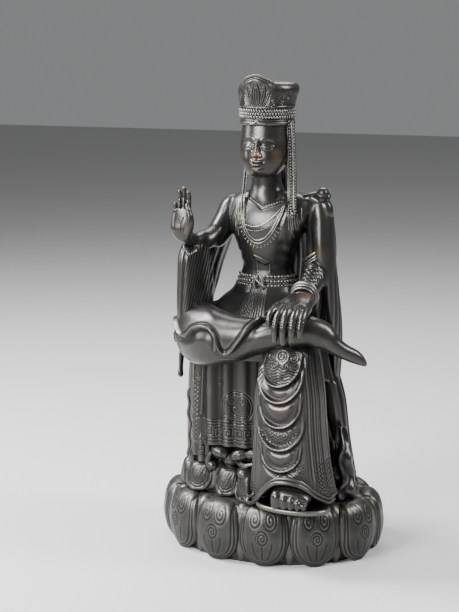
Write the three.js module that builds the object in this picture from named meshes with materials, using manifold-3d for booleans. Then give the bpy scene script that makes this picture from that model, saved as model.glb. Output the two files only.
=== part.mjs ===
// A seated Guanyin of cast bronze on an oval lotus plinth.
//
// Millimetres, +Z up. The figure looks along -Y and its left hand is at +X.
// The origin is the middle of the plinth's underside.
//
// The figure's pose is written in units of 1/410 of its own height, measured from
// the top of the plinth, so its places and girths follow FIGURE_HEIGHT.

import * as THREE from 'three';
import { mergeVertices } from 'three/addons/utils/BufferGeometryUtils.js';
import Module from 'manifold-3d';

// Plinth
const PLINTH_HEIGHT = 56;
const PLINTH_HALF_WIDTH = 112;
const PLINTH_HALF_DEPTH = 87;
const PETAL_COUNT = 12;
const PETAL_THICKNESS = 15;
const PETAL_GAP = 2.5;

// Figure
const FIGURE_HEIGHT = 410;
const SEAT_GAP = 0.3;

const POSE_UNIT_COUNT = 410;
const UNIT = FIGURE_HEIGHT / POSE_UNIT_COUNT;

const BRONZE = { color: 0x2b2723, roughness: 0.42, metalness: 0.85 };

const wasm = await Module();
wasm.setup();

const vec = (x, y, z) => new THREE.Vector3(x, y, z);
const bump = (x, middle, spread) => Math.exp(-(((x - middle) / spread) ** 2));
const smooth = (low, high, x) => THREE.MathUtils.smoothstep(x, low, high);
const wave = (angle, count) => Math.cos(THREE.MathUtils.degToRad(angle * count));

/** Turns a closed geometry into a solid that can be joined and cut. scale is its unit in millimetres. */
function solidOf(geometry, scale = UNIT) {
  const bare = geometry.index ? geometry.toNonIndexed() : geometry.clone();
  for (const name of Object.keys(bare.attributes)) {
    if (name !== 'position') bare.deleteAttribute(name);
  }
  bare.scale(scale, scale, scale);
  const merged = mergeVertices(bare, 1e-4);
  return new wasm.Manifold(new wasm.Mesh({
    numProp: 3,
    vertProperties: Float32Array.from(merged.attributes.position.array),
    triVerts: Uint32Array.from(merged.index.array),
  }));
}

/** Closes a stack of equal rings into one skin, each end with a fan to its middle. */
function skinOf(rings) {
  const sides = rings[0].length;
  const points = rings.flat();
  const triangles = [];
  for (let i = 0; i + 1 < rings.length; i++) {
    for (let j = 0; j < sides; j++) {
      const a = i * sides + j;
      const b = i * sides + ((j + 1) % sides);
      triangles.push(a, b, b + sides, a, b + sides, a + sides);
    }
  }
  for (const [row, last] of [[0, false], [rings.length - 1, true]]) {
    const middle = rings[row].reduce((sum, p) => sum.add(p), vec(0, 0, 0)).divideScalar(sides);
    const hub = points.push(middle) - 1;
    for (let j = 0; j < sides; j++) {
      const a = row * sides + j;
      const b = row * sides + ((j + 1) % sides);
      triangles.push(...(last ? [hub, a, b] : [hub, b, a]));
    }
  }
  const geometry = new THREE.BufferGeometry().setFromPoints(points);
  geometry.setIndex(triangles);
  return geometry;
}

/**
 * A closed body through stations [x, y, z, half width, half depth].
 * Rings are square to the spine, or level, and a power above 2 squares their corners.
 * A ring's corners are even, or gather at the front where bunch is above 0.
 * lift(angle, height) raises a ring's corner; carve(angle, share, point) adds to its radius.
 * Their angle is 0 degrees at the width's side and -90 at the front.
 */
function loft(stations, {
  sides = 12, rows = 1, across = vec(1, 0, 0), level = false, power = 2, bunch = 0,
  lift = null, carve = null, scale = UNIT,
} = {}) {
  const through = (points) => new THREE.CatmullRomCurve3(points, false, 'catmullrom');
  const spine = through(stations.map(([x, y, z]) => vec(x, y, z)));
  const girth = through(stations.map((s) => vec(s[3], s[4], 0)));
  const count = (stations.length - 1) * rows + 1;
  const rings = [];
  for (let i = 0; i < count; i++) {
    const share = i / (count - 1);
    const middle = spine.getPoint(share);
    const { x: halfWidth, y: halfDepth } = girth.getPoint(share);
    const along = level ? vec(0, 0, 1) : spine.getTangent(share);
    const wide = across.clone().addScaledVector(along, -across.dot(along)).normalize();
    const deep = along.clone().cross(wide);
    const ring = [];
    for (let j = 0; j < sides; j++) {
      const even = (2 * Math.PI * j) / sides;
      const angle = even - bunch * Math.cos(even);
      const c = Math.sign(Math.cos(angle)) * Math.abs(Math.cos(angle)) ** (2 / power);
      const s = Math.sign(Math.sin(angle)) * Math.abs(Math.sin(angle)) ** (2 / power);
      const point = middle.clone();
      point.addScaledVector(wide, halfWidth * c).addScaledVector(deep, halfDepth * s);
      const degrees = THREE.MathUtils.radToDeg(Math.atan2(Math.sin(angle), Math.cos(angle)));
      if (lift) point.z += lift(degrees, middle.z);
      if (carve) {
        const extra = carve(degrees, share, point);
        point.addScaledVector(wide, extra * Math.cos(angle));
        point.addScaledVector(deep, extra * Math.sin(angle));
      }
      ring.push(point);
    }
    rings.push(ring);
  }
  return solidOf(skinOf(rings), scale);
}

/** A cord of even thickness along a smooth line through points [x, y, z]. */
function cord(points, radius, { sides = 6, steps = points.length * 2 } = {}) {
  const outline = Array.from({ length: sides }, (_, j) => {
    const angle = (2 * Math.PI * j) / sides;
    return new THREE.Vector2(radius * Math.cos(angle), radius * Math.sin(angle));
  });
  const extrudePath = new THREE.CatmullRomCurve3(points.map((p) => vec(...p)));
  const section = new THREE.Shape(outline);
  return solidOf(new THREE.ExtrudeGeometry(section, { steps, extrudePath, bevelEnabled: false }));
}

/**
 * The y of a body's front where it passes x and z.
 * The body's stations follow z, or x where lying is true.
 */
function frontOf(stations, x, z, { lying = false, power = 2 } = {}) {
  const [key, value] = lying ? [0, x] : [2, z];
  const found = stations.findIndex((s, n) => n > 0 && value <= s[key]);
  const next = found < 0 ? stations.length - 1 : found;
  const [a, b] = [stations[next - 1], stations[next]];
  const share = THREE.MathUtils.clamp((value - a[key]) / (b[key] - a[key]), 0, 1);
  const [cx, cy, cz, halfWidth, halfDepth] = a.map((v, n) => THREE.MathUtils.lerp(v, b[n], share));
  const aside = Math.min(1, Math.abs(lying ? z - cz : x - cx) / halfWidth);
  return cy - halfDepth * (1 - aside ** power) ** (1 / power);
}

/** A body's station at a height between those that it has. */
function at(stations, z) {
  const next = Math.max(1, stations.findIndex((s) => z <= s[2]));
  const [a, b] = [stations[next - 1], stations[next]];
  return a.map((v, n) => THREE.MathUtils.lerp(v, b[n], (z - a[2]) / (b[2] - a[2])));
}

/** A small round boss. */
function boss([x, y, z], radius, [sx, sy, sz] = [1, 1, 1]) {
  const ball = new THREE.SphereGeometry(radius, 6, 3);
  ball.scale(sx, sy, sz);
  ball.translate(x, y, z);
  return solidOf(ball);
}

function joined(solids) {
  return solids.reduce((whole, solid) => whole.add(solid));
}

const SEAT = [
  [-13, -8, 0, 69, 40],
  [-13, -8, 8, 71, 42],
  [-13, -8, 22, 70, 41],
  [-13, -8, 70, 70, 40],
  [-14, -7, 130, 67, 38],
  [-10, -7, 165, 52, 34],
];

const PANEL = [
  [-32, -39, 46, 38, 15],
  [-32, -39, 50, 39, 16],
  [-32, -39, 76, 38.5, 15.5],
  [-32, -39, 79, 37.5, 14.5],
  [-32, -37, 158, 34, 12],
];

const LEG = [
  [42, -50, 14, 42, 36],
  [42, -54, 20, 41, 34],
  [42, -58, 45, 37, 32],
  [42, -62, 80, 34, 31],
  [43, -66, 115, 32, 30],
  [44, -68, 140, 28, 28],
  [45, -67, 156, 24, 25],
  [46, -64, 166, 16, 18],
  [46, -62, 170, 8, 9],
];
const LEG_POWER = 2.3;
const HANGING_FOLDS = [
  { low: 44, depth: 1.8 },
  { low: 65, depth: 3 },
  { low: 87, depth: 1.6 },
  { low: 110, depth: 2.6 },
  { low: 127, depth: 2.2 },
];
const FOLD_HALF_HEIGHT = 4.2;

const SHIN = [
  [-73, -45, 160, 11, 12],
  [-66, -50, 160, 22, 21],
  [-53, -61, 160, 26.5, 24],
  [-33, -73, 161, 26, 24],
  [-9, -80, 164, 22, 21],
  [18, -82, 170, 17.5, 18],
  [46, -78, 175, 16, 16],
  [62, -74, 177, 14.5, 14.5],
  [74, -71, 172.5, 13, 12.5],
  [85, -68, 164.5, 10, 10.5],
  [97, -63, 158, 7.4, 8],
  [107, -59, 154, 5.8, 6.5],
  [113, -56.5, 148.5, 3.4, 4],
];

/** The cloth over the seat, from the plinth up to the lap, in pleats that gather at its top. */
function seatCloth() {
  const pleats = (angle, share) => {
    const hem = 3 * bump(share, 0.05, 0.07) * wave(angle, 8);
    return 1.5 * (1 - 0.4 * share) * wave(angle, 9) + hem;
  };
  return loft(SEAT, { sides: 18, level: true, power: 3, carve: pleats });
}

/** The front panel of the robe under the folded leg: thick cloth with a border, above the ruffles. */
function frontPanel() {
  const folds = (angle, share, point) => (angle < 0 ? 1.4 * Math.cos(point.x / 4.3) : 0);
  return loft(PANEL, { sides: 20, level: true, power: 3.2, bunch: 0.4, carve: folds });
}

/** The ruffled hems that stand on the plinth under the front panel, and beside the left leg. */
function ruffles() {
  const lobes = [
    [-64, -33, 14, 16, 26],
    [-39, -43, 15, 14, 26],
    [-13, -52, 13, 14, 28],
    [69, -18, 12, 15, 40],
  ];
  const solids = lobes.map(([x, y, halfWidth, halfDepth, height]) => loft([
    [x, y, 0, halfWidth * 0.76, halfDepth * 0.76],
    [x, y - 1, 7, halfWidth, halfDepth],
    [x, y + 1, height * 0.6, halfWidth * 0.9, halfDepth * 0.85],
    [x, y + 5, height, halfWidth * 0.55, halfDepth * 0.5],
  ], { sides: 8, level: true }));
  const folds = [
    [[-56, -46, 38], [-46, -52, 29], [-36, -50, 33]],
    [[-36, -50, 33], [-25, -55, 36], [-12, -54, 25]],
  ];
  return [...solids, ...folds.map((line) => cord(line, 4.8, { sides: 4, steps: 3 }))];
}

/** The hanging left leg under its robe: rounded folds down its front, pleats at its sides. */
function leftLeg() {
  const [hemStations, kneeStations] = [LEG.slice(0, 2), LEG.slice(-3)];
  const rows = HANGING_FOLDS.flatMap(({ low, depth }) => [
    { z: low - FOLD_HALF_HEIGHT, depth: 0 }, { z: low, depth }, { z: low + FOLD_HALF_HEIGHT, depth: 0 },
  ]);
  const plain = (part) => part.map(() => 0);
  const depths = [...plain(hemStations), ...rows.map(({ depth }) => depth), ...plain(kneeStations)];
  const sag = (angle, height) => {
    const turn = Math.min(1, Math.abs(angle + 90) / 56);
    const upper = (1 - 0.55 * smooth(100, 130, height)) * (1 - smooth(130, 150, height));
    return 36 * turn ** 2 * smooth(20, 44, height) * upper;
  };
  const folds = (angle, share, point) => {
    const turn = Math.abs(angle + 90);
    const fold = depths[Math.round(share * (depths.length - 1))] * (1 - smooth(44, 62, turn));
    return fold + 1.2 * smooth(46, 56, turn) * wave(turn, 12) * smooth(0, 20, point.z);
  };
  const robe = loft([...hemStations, ...rows.map(({ z }) => at(LEG, z)), ...kneeStations], {
    sides: 18, level: true, power: LEG_POWER, bunch: 0.4, lift: sag, carve: folds,
  });
  const hemRoll = cord([
    [-3, -61, 6], [8, -76, 4], [18, -84, 16], [30, -90, 29], [43, -93, 36.5],
    [56, -91, 36], [67, -85, 30.5], [77, -74, 18], [84, -58, 7],
  ], 3, { sides: 4, steps: 9 });
  return [robe, hemRoll, ...kneeMedallion()];
}

/** The round medallion on the left knee: a low disc with three cloud whorls on it. */
function kneeMedallion() {
  const [x0, z0, radius] = [44.5, 147, 18];
  const front = (x, z) => frontOf(LEG, x, z, { power: LEG_POWER });
  const disc = loft([
    [x0, front(x0, z0) + 8, z0, radius, radius],
    [x0, front(x0, z0) + 2.5, z0, radius, radius],
    [x0, front(x0, z0) - 1.6, z0, radius * 0.8, radius * 0.8],
  ], { sides: 11 });
  const whorls = [-0.6, 1.5, 3.7].map((turn) => {
    const [x, z] = [x0 + radius * 0.48 * Math.cos(turn), z0 + radius * 0.48 * Math.sin(turn)];
    return boss([x, front(x, z) - 1.6 - 1.6 * Math.max(0, Math.sin(turn)), z], 5.4, [1, 0.5, 1]);
  });
  return [disc, ...whorls];
}

/** The left foot on its small rest, which stands out over the front of the plinth. */
function leftFoot() {
  const rest = loft([
    [51, -74, 0, 31, 18],
    [51, -76, 3, 36, 21],
    [51, -76, 8, 36, 21],
    [51, -75, 10, 33, 18],
  ], { sides: 10, level: true });
  const sole = loft([
    [49, -58, 24, 18, 13],
    [52, -74, 21.5, 20, 12.5],
    [53.5, -90, 18.5, 18.5, 8],
  ], { sides: 8 });
  const toes = [0, 1, 2, 3, 4].map((i) => {
    const [x, length] = [38 + 7.6 * i, 4 * Math.sin(1 + 0.45 * i)];
    const girth = i === 0 ? 4.6 : 3.9;
    return loft([
      [x, -82 - length, 22, girth, 5],
      [x + 0.5, -90 - length, 19.5, girth, 5],
      [x + 0.8, -94 - length, 13, 2.8, 4],
    ], { sides: 5 });
  });
  return [rest, sole, ...toes];
}

/** Thighs and lap under the skirt, spreading from the belt, with the sash's pleats down its middle. */
function lap() {
  const mound = loft([
    [-10, -22, 138, 56, 36],
    [-9, -28, 160, 60, 42],
    [-8, -25, 178, 54, 40],
    [-7, -19, 190, 43, 33],
    [-5, -8, 200, 35, 27],
    [-5, -4, 208, 31, 24],
  ], { sides: 14, level: true, power: 2.2 });
  const sash = [-2, 0, 2].map((i) => cord([
    [-4 + 2.6 * i, -29, 203], [-3 + 3.4 * i, -38, 198], [-1 + 4 * i, -52, 190], [1 + 4.4 * i, -66, 183],
  ], 3, { sides: 4, steps: 3 }));
  return [mound, ...sash];
}

/** The right leg folded across the lap, its foot past the left knee, with the robe's waved hem. */
function rightLeg() {
  const shin = loft(SHIN, { sides: 12, across: vec(0, 0, 1) });
  const hem = [
    [-73, 180], [-68, 174], [-60, 169], [-51, 168], [-42, 173], [-33, 179], [-25, 175], [-19, 166],
    [-12, 155], [-5, 152], [2, 158], [8, 169], [15, 180], [25, 187], [36, 190],
  ].map(([x, z]) => [x, frontOf(SHIN, x, z, { lying: true }) - (x < -30 ? 2 : 0), z]);
  const thigh = loft([
    [-18, -10, 168, 24, 26],
    [-38, -27, 166, 25, 27],
    [-62, -46, 162, 21, 23],
    [-70, -52, 160, 10, 12],
  ], { sides: 8 });
  return [shin, thigh, cord(hem, 2.8, { sides: 3, steps: 17 })];
}

/** The torso from the hips to the shoulders, with the belt's three rows of beads, and the neck. */
function torso() {
  const [rowHeight, rowCount, lowest] = [5.6, 3, 201];
  const beltRows = Array.from({ length: 2 * rowCount + 1 }, (_, i) => {
    const proud = i % 2 ? 2.6 : 0.4;
    return [-5, -2, lowest + (rowHeight / 2) * i, 32 - 0.85 * i + proud, 26 - 0.7 * i + proud];
  });
  const beads = (angle, share, point) => {
    const row = (point.z - lowest) / rowHeight;
    return row > 0 && row < rowCount && Math.abs((row % 1) - 0.5) < 0.1 ? 0.6 * wave(angle, 9) : 0;
  };
  return [
    loft([
      [-4, -2, 192, 36, 28],
      ...beltRows,
      [-5, -2, 226, 25.5, 21],
      [-5, -3, 244, 30, 24],
      [-4, -3, 262, 38, 27],
      [-2, -2, 276, 43, 25],
      [-1, 0, 287, 44, 21],
      [-2, 0, 293, 37, 17],
      [-4, -1, 298, 22, 15],
    ], { sides: 18, level: true, power: 2.2, bunch: 0.15, carve: beads }),
    loft([
      [-5, -3, 288, 21, 17],
      [-5.5, -4, 298, 17, 15.5],
      [-6, -6, 324, 15, 15],
    ], { sides: 8, level: true }),
  ];
}

/** The looped clasp at the front of the belt. */
function clasp() {
  const loop = Array.from({ length: 9 }, (_, i) => {
    const turn = (2 * Math.PI * i) / 8.3;
    return [-4 + 4.2 * Math.sin(turn), -30 - 0.04 * i, 209 + 8 * Math.cos(turn)];
  });
  return cord(loop, 2.2, { sides: 4, steps: 9 });
}

/** A lowered-eyed face of plain, even proportions, in thirds from hairline to chin. */
function head() {
  const [hairline, chin] = [363, 316];
  const third = (hairline - chin) / 3;
  const [brow, noseBase] = [hairline - third, chin + third];
  const mouth = noseBase - third / 3;
  const eye = brow - third / 4;
  const features = (angle, share, point) => {
    const turn = angle + 90;
    if (Math.abs(turn) > 80) return 0;
    const { z } = point;
    const bridge = smooth(noseBase - 1, noseBase + 2, z) * (1 - smooth(eye, brow + 3, z));
    const nose = (2 + 3.2 * bump(z, noseBase + 2.5, 6)) * bridge * bump(turn, 0, 9);
    const sockets = -2.2 * bump(z, eye, 3.4) * bump(Math.abs(turn), 27, 13);
    const lids = 1.5 * bump(z, eye - 1, 2.2) * bump(Math.abs(turn), 27, 10);
    const lips = 1.9 * bump(z, mouth, 2.6) * bump(turn, 0, 15);
    const chinEnd = 1.6 * bump(z, chin + 4, 4) * bump(turn, 0, 20);
    return nose + sockets + lids + lips + chinEnd;
  };
  return loft([
    [-6, -17, 312, 8, 9],
    [-6, -16, 316, 13, 13.5],
    [-6, -13, 323, 18, 18],
    [-6, -10, 333, 21, 22],
    [-6, -9, 346, 22.8, 23.5],
    [-6, -8, 363, 23.5, 25],
  ], { sides: 18, rows: 3, level: true, power: 2.15, bunch: 0.52, carve: features });
}

/** The hair behind the ears and the neck, down to the mantle's collar, and the long ears. */
function hairAndEars() {
  const hair = loft([
    [-4, 13, 286, 13, 6],
    [-5, 12, 300, 14, 8],
    [-6, 8, 318, 19, 13],
    [-6, 4, 336, 23.5, 16],
    [-6, 1, 362, 24.5, 18],
  ], { sides: 10, level: true });
  const ears = [-1, 1].map((side) => loft([
    [-6 + 22 * side, -7, 324, 1.6, 2.4],
    [-6 + 22.6 * side, -6, 331, 2.4, 3.4],
    [-6 + 23.6 * side, -5, 344, 2.6, 4.6],
    [-6 + 23 * side, -4, 351, 1.6, 2.6],
  ], { sides: 5, level: true }));
  return [hair, ...ears];
}

/** The tall crown: beaded bands, a flaring drum, and a peaked plate with leaves at the front. */
function crown() {
  const [x, y] = [-5, -6];
  const [foot, bandHeight, bandCount] = [361.8, 5.7, 3];
  const bands = Array.from({ length: 2 * bandCount + 1 }, (_, i) => {
    const proud = i % 2 ? 2 : 0;
    return [x, y, foot + (bandHeight / 2) * i, 25.8 + proud, 26.4 + proud];
  });
  const beads = (angle, share, point) => {
    const band = (point.z - foot) / bandHeight;
    return band > 0 && band < bandCount && Math.abs((band % 1) - 0.5) < 0.1 ? 0.6 * wave(angle, 9) : 0;
  };
  const drum = loft([
    ...bands,
    [x, y + 1, 395, 30, 29],
    [x, y + 2, 401, 27, 25],
    [x, y + 3, 403, 16, 15],
  ], { sides: 18, level: true, carve: beads });
  return [drum, ...crownPlate(x, y)];
}

/** The crown's front plate: a curved sheet whose top rises to a peak, with three leaves on it. */
function crownPlate(x, y) {
  const [columns, foot, reach, wall] = [8, 379, 68, 4.5];
  const spine = [[0, 28], [0.5, 29.4], [1, 32]];
  const at = (turn, z, radius) => {
    const angle = THREE.MathUtils.degToRad(turn - 90);
    return vec(x + radius * Math.cos(angle), y + radius * Math.sin(angle), z);
  };
  const rings = Array.from({ length: columns + 1 }, (_, i) => {
    const turn = reach * (1 - (2 * i) / columns);
    const rim = 410 - 17 * (Math.abs(turn) / reach) ** 1.3;
    const outer = spine.map(([height, radius]) => at(turn, foot + (rim - foot) * height, radius));
    const inner = spine.map(([height, radius]) => at(turn, foot + (rim - foot) * height, radius - wall));
    return [...outer, ...inner.reverse()];
  });
  const leaves = [-38, 0, 38].map((turn) => {
    const { x: px, y: py } = at(turn, 0, 28.6);
    return boss([px, py, 390 - Math.abs(turn) / 12], 7.5, [0.7, 0.45, 1.35]);
  });
  return [solidOf(skinOf(rings)), ...leaves];
}

/** Plaits that hang from the crown past the ears to the chest, one on each side. */
function plaits() {
  const options = { sides: 4 };
  return [
    loft([
      [20.5, -12, 366, 2.6, 3.2],
      [22, -12, 345, 3.4, 4],
      [23, -13, 322, 3.6, 4.2],
      [24.5, -15, 303, 4, 4.2],
      [27, -21, 286, 4.4, 3.8],
      [28.5, -24, 268, 4.2, 3.4],
      [29, -22, 250, 2.4, 2],
    ], options),
    loft([
      [-27, -3, 366, 2.6, 3.2],
      [-27.5, -5, 330, 3.2, 3.8],
      [-26.5, -12, 303, 3.4, 3.8],
      [-25.5, -21, 286, 3.6, 3.4],
      [-24, -27, 268, 2.4, 2.2],
    ], options),
  ];
}

/** The long necklace, a cord lying in a loop on the chest. */
function necklace() {
  const [half, top, low, front] = [20, 292, 247, -30];
  const loop = Array.from({ length: 9 }, (_, i) => {
    const side = Math.PI * (i / 8 - 0.5);
    const y = front + 7 * Math.sin(side) ** 2;
    return [-5 + half * Math.sin(side), y, top - (top - low) * Math.cos(side)];
  });
  return cord(loop, 2.2, { sides: 3, steps: 10 });
}

/** The left arm, its two cuffs, and the hand that rests on the folded shin. */
function leftArm() {
  const sleeve = loft([
    [36, 2, 284, 11, 13],
    [43, 3, 279, 12, 13],
    [44, 4, 262, 12, 13],
    [45, 3, 246, 12, 13],
    [46, -1, 231, 12.5, 13],
    [47, -12, 219, 12, 12],
    [48, -28, 210, 10.5, 11],
    [48, -44, 204, 9, 9],
    [49, -56, 202, 8.5, 7],
  ], { sides: 8 });
  const cuffs = [
    loft([[46, 1, 234, 13.5, 13.5], [46.3, -3, 228.5, 15, 15]], { sides: 8 }),
    loft([[48, -39, 206, 10, 10], [48, -46, 204, 12.5, 11.5]], { sides: 8 }),
  ];
  const back = loft([
    [49, -52, 203, 9, 7],
    [51, -62, 203, 13, 7],
    [51.5, -74, 201, 16, 6],
    [51.5, -84, 197, 16.5, 5.5],
  ], { sides: 8 });
  const reaches = [
    [[43, -80, 200], [42, -91, 196], [40, -99, 186], [39.5, -100, 172]],
    [[50, -80, 201], [49.5, -92, 197], [48, -99, 187], [47.5, -99.5, 170]],
    [[57, -80, 200], [57, -91, 196], [56, -98, 187], [55.5, -98, 173]],
    [[63.5, -78, 198], [63.5, -88, 195], [63, -94.5, 187], [62, -95.5, 176]],
    [[37, -68, 200], [34, -78, 199], [32, -89, 194], [31.5, -94, 187]],
  ];
  const fingers = reaches.map((points) => loft(
    points.map(([x, y, z], i) => [x, y, z, 4.2 - 0.35 * i, 4.4 - 0.35 * i]),
    { sides: 5 },
  ));
  return [sleeve, ...cuffs, back, ...fingers];
}

/** The right arm, raised with its palm to the front. */
function rightArm() {
  const upper = loft([
    [-34, 1, 283, 11, 12],
    [-43, -2, 279, 12, 12.5],
    [-47, -9, 266, 12, 12.5],
    [-52, -20, 254, 11.5, 12],
    [-57, -36, 251, 9.5, 10],
    [-60.5, -54, 252, 7.5, 7.5],
    [-62.5, -67, 257, 6.6, 6.4],
    [-63, -72, 262, 6.4, 5.4],
  ], { sides: 8 });
  const palm = loft([
    [-63, -71.5, 256, 7.4, 5.2],
    [-63.2, -75, 262, 10.4, 6],
    [-63.4, -76, 270, 11, 5.2],
    [-63, -76, 278, 10.2, 4.2],
    [-62.6, -75.5, 286, 9, 3.4],
  ], { sides: 8 });
  const fingers = [292, 303, 306.5, 302.5].map((tip, i) => {
    const x = -70.3 + 4.3 * i;
    const girth = 2 + 0.15 * i;
    return loft([
      [x, -75, 281, girth, 3],
      [x + 0.2, -75, tip - 4, girth, 2.7],
      [x + 0.2, -76.5, tip, 1.1, 1.4],
    ], { sides: 5 });
  });
  const thumb = loft([
    [-57, -77, 264, 3.8, 4.2],
    [-54, -79.5, 273, 3.8, 3.8],
    [-55, -80, 281, 3, 3],
    [-57.4, -80, 288, 1.7, 1.9],
  ], { sides: 5 });
  return [upper, palm, ...fingers, thumb];
}

/** The wide right sleeve, hanging in pleats from the forearm to the knee, and its tail below. */
function rightSleeve() {
  const pleats = (angle, share) => 1.1 * wave(angle, 8) * smooth(0.1, 0.3, 1 - share);
  const front = loft([
    [-63.5, -46, 172, 11.5, 29],
    [-63.5, -46, 190, 11.5, 30.5],
    [-63.5, -45, 215, 11.5, 30.5],
    [-63, -44, 238, 11, 30],
    [-62, -41, 250, 9.5, 26],
    [-61, -38, 255, 6, 19],
  ], { sides: 16, level: true, power: 2.6, carve: pleats });
  const rear = loft([
    [-62, -24, 190, 5, 12],
    [-59, -16, 222, 6, 20],
    [-54, -9, 246, 7, 22],
    [-49, -7, 264, 7, 14],
  ], { sides: 8, level: true, power: 3 });
  const tail = loft([
    [-76, -55, 117, 2.2, 4],
    [-76, -53, 135, 2.8, 5.5],
    [-72, -50, 160, 3, 5],
  ], { sides: 6, level: true });
  return [front, rear, tail];
}

/** The mantle that falls from the shoulders behind the arms, over the back of the seat, to the plinth. */
function mantle() {
  const folds = (angle, share) => (
    1.7 * (1 - 0.6 * share) * wave(angle, 11) * smooth(0.02, 0.1, 1 - share)
  );
  return loft([
    [2, 20, 0, 79, 34],
    [1, 19, 12, 78, 33],
    [0, 17, 50, 73, 31],
    [0, 17, 90, 68, 29],
    [0, 16, 122, 60, 27],
    [2, 16, 160, 51, 23],
    [14, 15, 200, 41, 17],
    [16, 13, 240, 43, 14],
    [9, 10, 274, 47, 13],
    [4, 7, 289, 43, 12],
    [-2, 5, 297, 24, 10],
  ], { sides: 22, level: true, power: 2.6, bunch: -0.2, carve: folds });
}

/** The knot of cloth on the left shoulder. */
function shoulderKnot() {
  return [
    boss([48, 3, 297], 7.5),
    boss([41, -4, 295], 6, [1.3, 1, 0.8]),
    boss([48, -8, 289], 6.5, [1.1, 0.9, 0.9]),
  ];
}

/** The whole figure, cast in one piece. */
function figure() {
  const whole = joined([
    seatCloth(), frontPanel(), ...ruffles(), ...leftLeg(), ...leftFoot(), ...lap(), ...rightLeg(),
    mantle(), ...torso(), clasp(), head(), ...hairAndEars(), ...crown(), ...plaits(), necklace(),
    ...leftArm(), ...rightArm(), ...rightSleeve(), ...shoulderKnot(),
  ]);
  return meshOf('guanyin_figure', whole, BRONZE, PLINTH_HEIGHT + SEAT_GAP);
}

/** One lotus petal at a place on the plinth's edge: it leaves the top, swells, and turns down to a tip. */
function petal(place, outward, halfWidth, outline) {
  const sideways = vec(-outward.y, outward.x, 0);
  return loft(outline.map(([inset, height, share], i) => {
    const thickness = i === 0 ? PETAL_THICKNESS / 2 : PETAL_THICKNESS;
    const p = place.clone().addScaledVector(outward, -inset - PETAL_THICKNESS / 2);
    return [p.x, p.y, height * PLINTH_HEIGHT, halfWidth * share, thickness / 2];
  }), { sides: 8, across: sideways, scale: 1 });
}

/** The oval lotus plinth: a ring of turned-down petals round a solid core with a flat underside. */
function lotusPlinth() {
  const edge = PLINTH_HALF_WIDTH;
  const profile = [
    [edge, 0], [7, 0], [7, 0.45], [10, 0.86], [19, 1], [edge, 1],
  ].map(([inset, height]) => new THREE.Vector2(edge - inset, height * PLINTH_HEIGHT));
  const core = new THREE.LatheGeometry(profile, 24);
  core.rotateX(Math.PI / 2);
  core.scale(1, PLINTH_HALF_DEPTH / PLINTH_HALF_WIDTH, 1);
  const oval = new THREE.EllipseCurve(
    0, 0, PLINTH_HALF_WIDTH, PLINTH_HALF_DEPTH, -Math.PI / 2, 1.5 * Math.PI, false, 0,
  );
  const spacing = oval.getLength() / PETAL_COUNT;
  const outline = [[17, 0.9, 0.66], [4, 0.86, 0.9], [0, 0.52, 1], [1.4, 0.22, 0.88], [4.2, 0.05, 0.5]];
  const start = 0.43;
  const petals = Array.from({ length: PETAL_COUNT }, (_, i) => {
    const share = (i + start) / PETAL_COUNT;
    const p = oval.getPointAt(share);
    const t = oval.getTangentAt(share);
    return petal(vec(p.x, p.y, 0), vec(t.y, -t.x, 0), (spacing - PETAL_GAP) / 2, outline);
  });
  return meshOf('lotus_plinth', joined([solidOf(core, 1), ...petals]), BRONZE, 0);
}

/** A named mesh of a finished solid, lifted to its height. */
function meshOf(name, solid, finish, height) {
  const { vertProperties, triVerts } = solid.getMesh();
  const geometry = new THREE.BufferGeometry();
  geometry.setAttribute('position', new THREE.BufferAttribute(vertProperties, 3));
  geometry.setIndex(new THREE.BufferAttribute(triVerts, 1));
  geometry.computeVertexNormals();
  const mesh = new THREE.Mesh(geometry, new THREE.MeshStandardMaterial(finish));
  mesh.name = name;
  mesh.position.z = height;
  return mesh;
}

const statue = new THREE.Group();
statue.add(figure(), lotusPlinth());

export default statue;
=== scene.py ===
"""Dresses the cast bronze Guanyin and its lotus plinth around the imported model.

All shapes are worked out in figure units: 1/410 of the figure's height, measured from the top of the
plinth, with +Z up and the figure looking along -Y. The workshop turns them into metres.
"""

import logging
import math
from collections.abc import Callable, Sequence
from dataclasses import dataclass, field
from enum import Enum

import bpy
import numpy as np
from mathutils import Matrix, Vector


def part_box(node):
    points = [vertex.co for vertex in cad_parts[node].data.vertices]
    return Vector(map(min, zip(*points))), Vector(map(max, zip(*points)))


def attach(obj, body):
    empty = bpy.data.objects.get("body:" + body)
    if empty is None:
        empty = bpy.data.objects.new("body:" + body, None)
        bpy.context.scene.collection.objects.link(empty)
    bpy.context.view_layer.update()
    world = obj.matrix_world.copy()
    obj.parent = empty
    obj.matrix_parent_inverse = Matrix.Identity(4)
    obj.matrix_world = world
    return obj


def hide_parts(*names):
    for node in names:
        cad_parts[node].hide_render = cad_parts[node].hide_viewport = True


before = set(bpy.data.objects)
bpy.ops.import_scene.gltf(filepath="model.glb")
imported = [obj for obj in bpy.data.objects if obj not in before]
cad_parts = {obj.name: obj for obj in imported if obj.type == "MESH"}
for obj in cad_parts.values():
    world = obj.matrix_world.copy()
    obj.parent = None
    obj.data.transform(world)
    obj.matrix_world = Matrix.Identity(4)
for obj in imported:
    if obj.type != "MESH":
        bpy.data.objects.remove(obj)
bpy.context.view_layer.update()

log = logging.getLogger("guanyin")

Array = np.ndarray
Station = Sequence[float]
Stations = Sequence[Station]
Relief = Callable[[Array, Array], Array]

FIGURE_NODE = "guanyin_figure"
PLINTH_NODE = "lotus_plinth"
BODY = "root"
UNITS_TALL = 410

# Farther away than anything in the figure
FAR = 1e9

# The squareness of the torso's rings, which the necklaces also lie on
TORSO_POWER = 2.2


# Curves and profiles


def bump(x: Array, middle: float, spread: float) -> Array:
    """A smooth hill of height 1 at its middle, and about a third of that at its spread."""
    return np.exp(-(((x - middle) / spread) ** 2))


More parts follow.
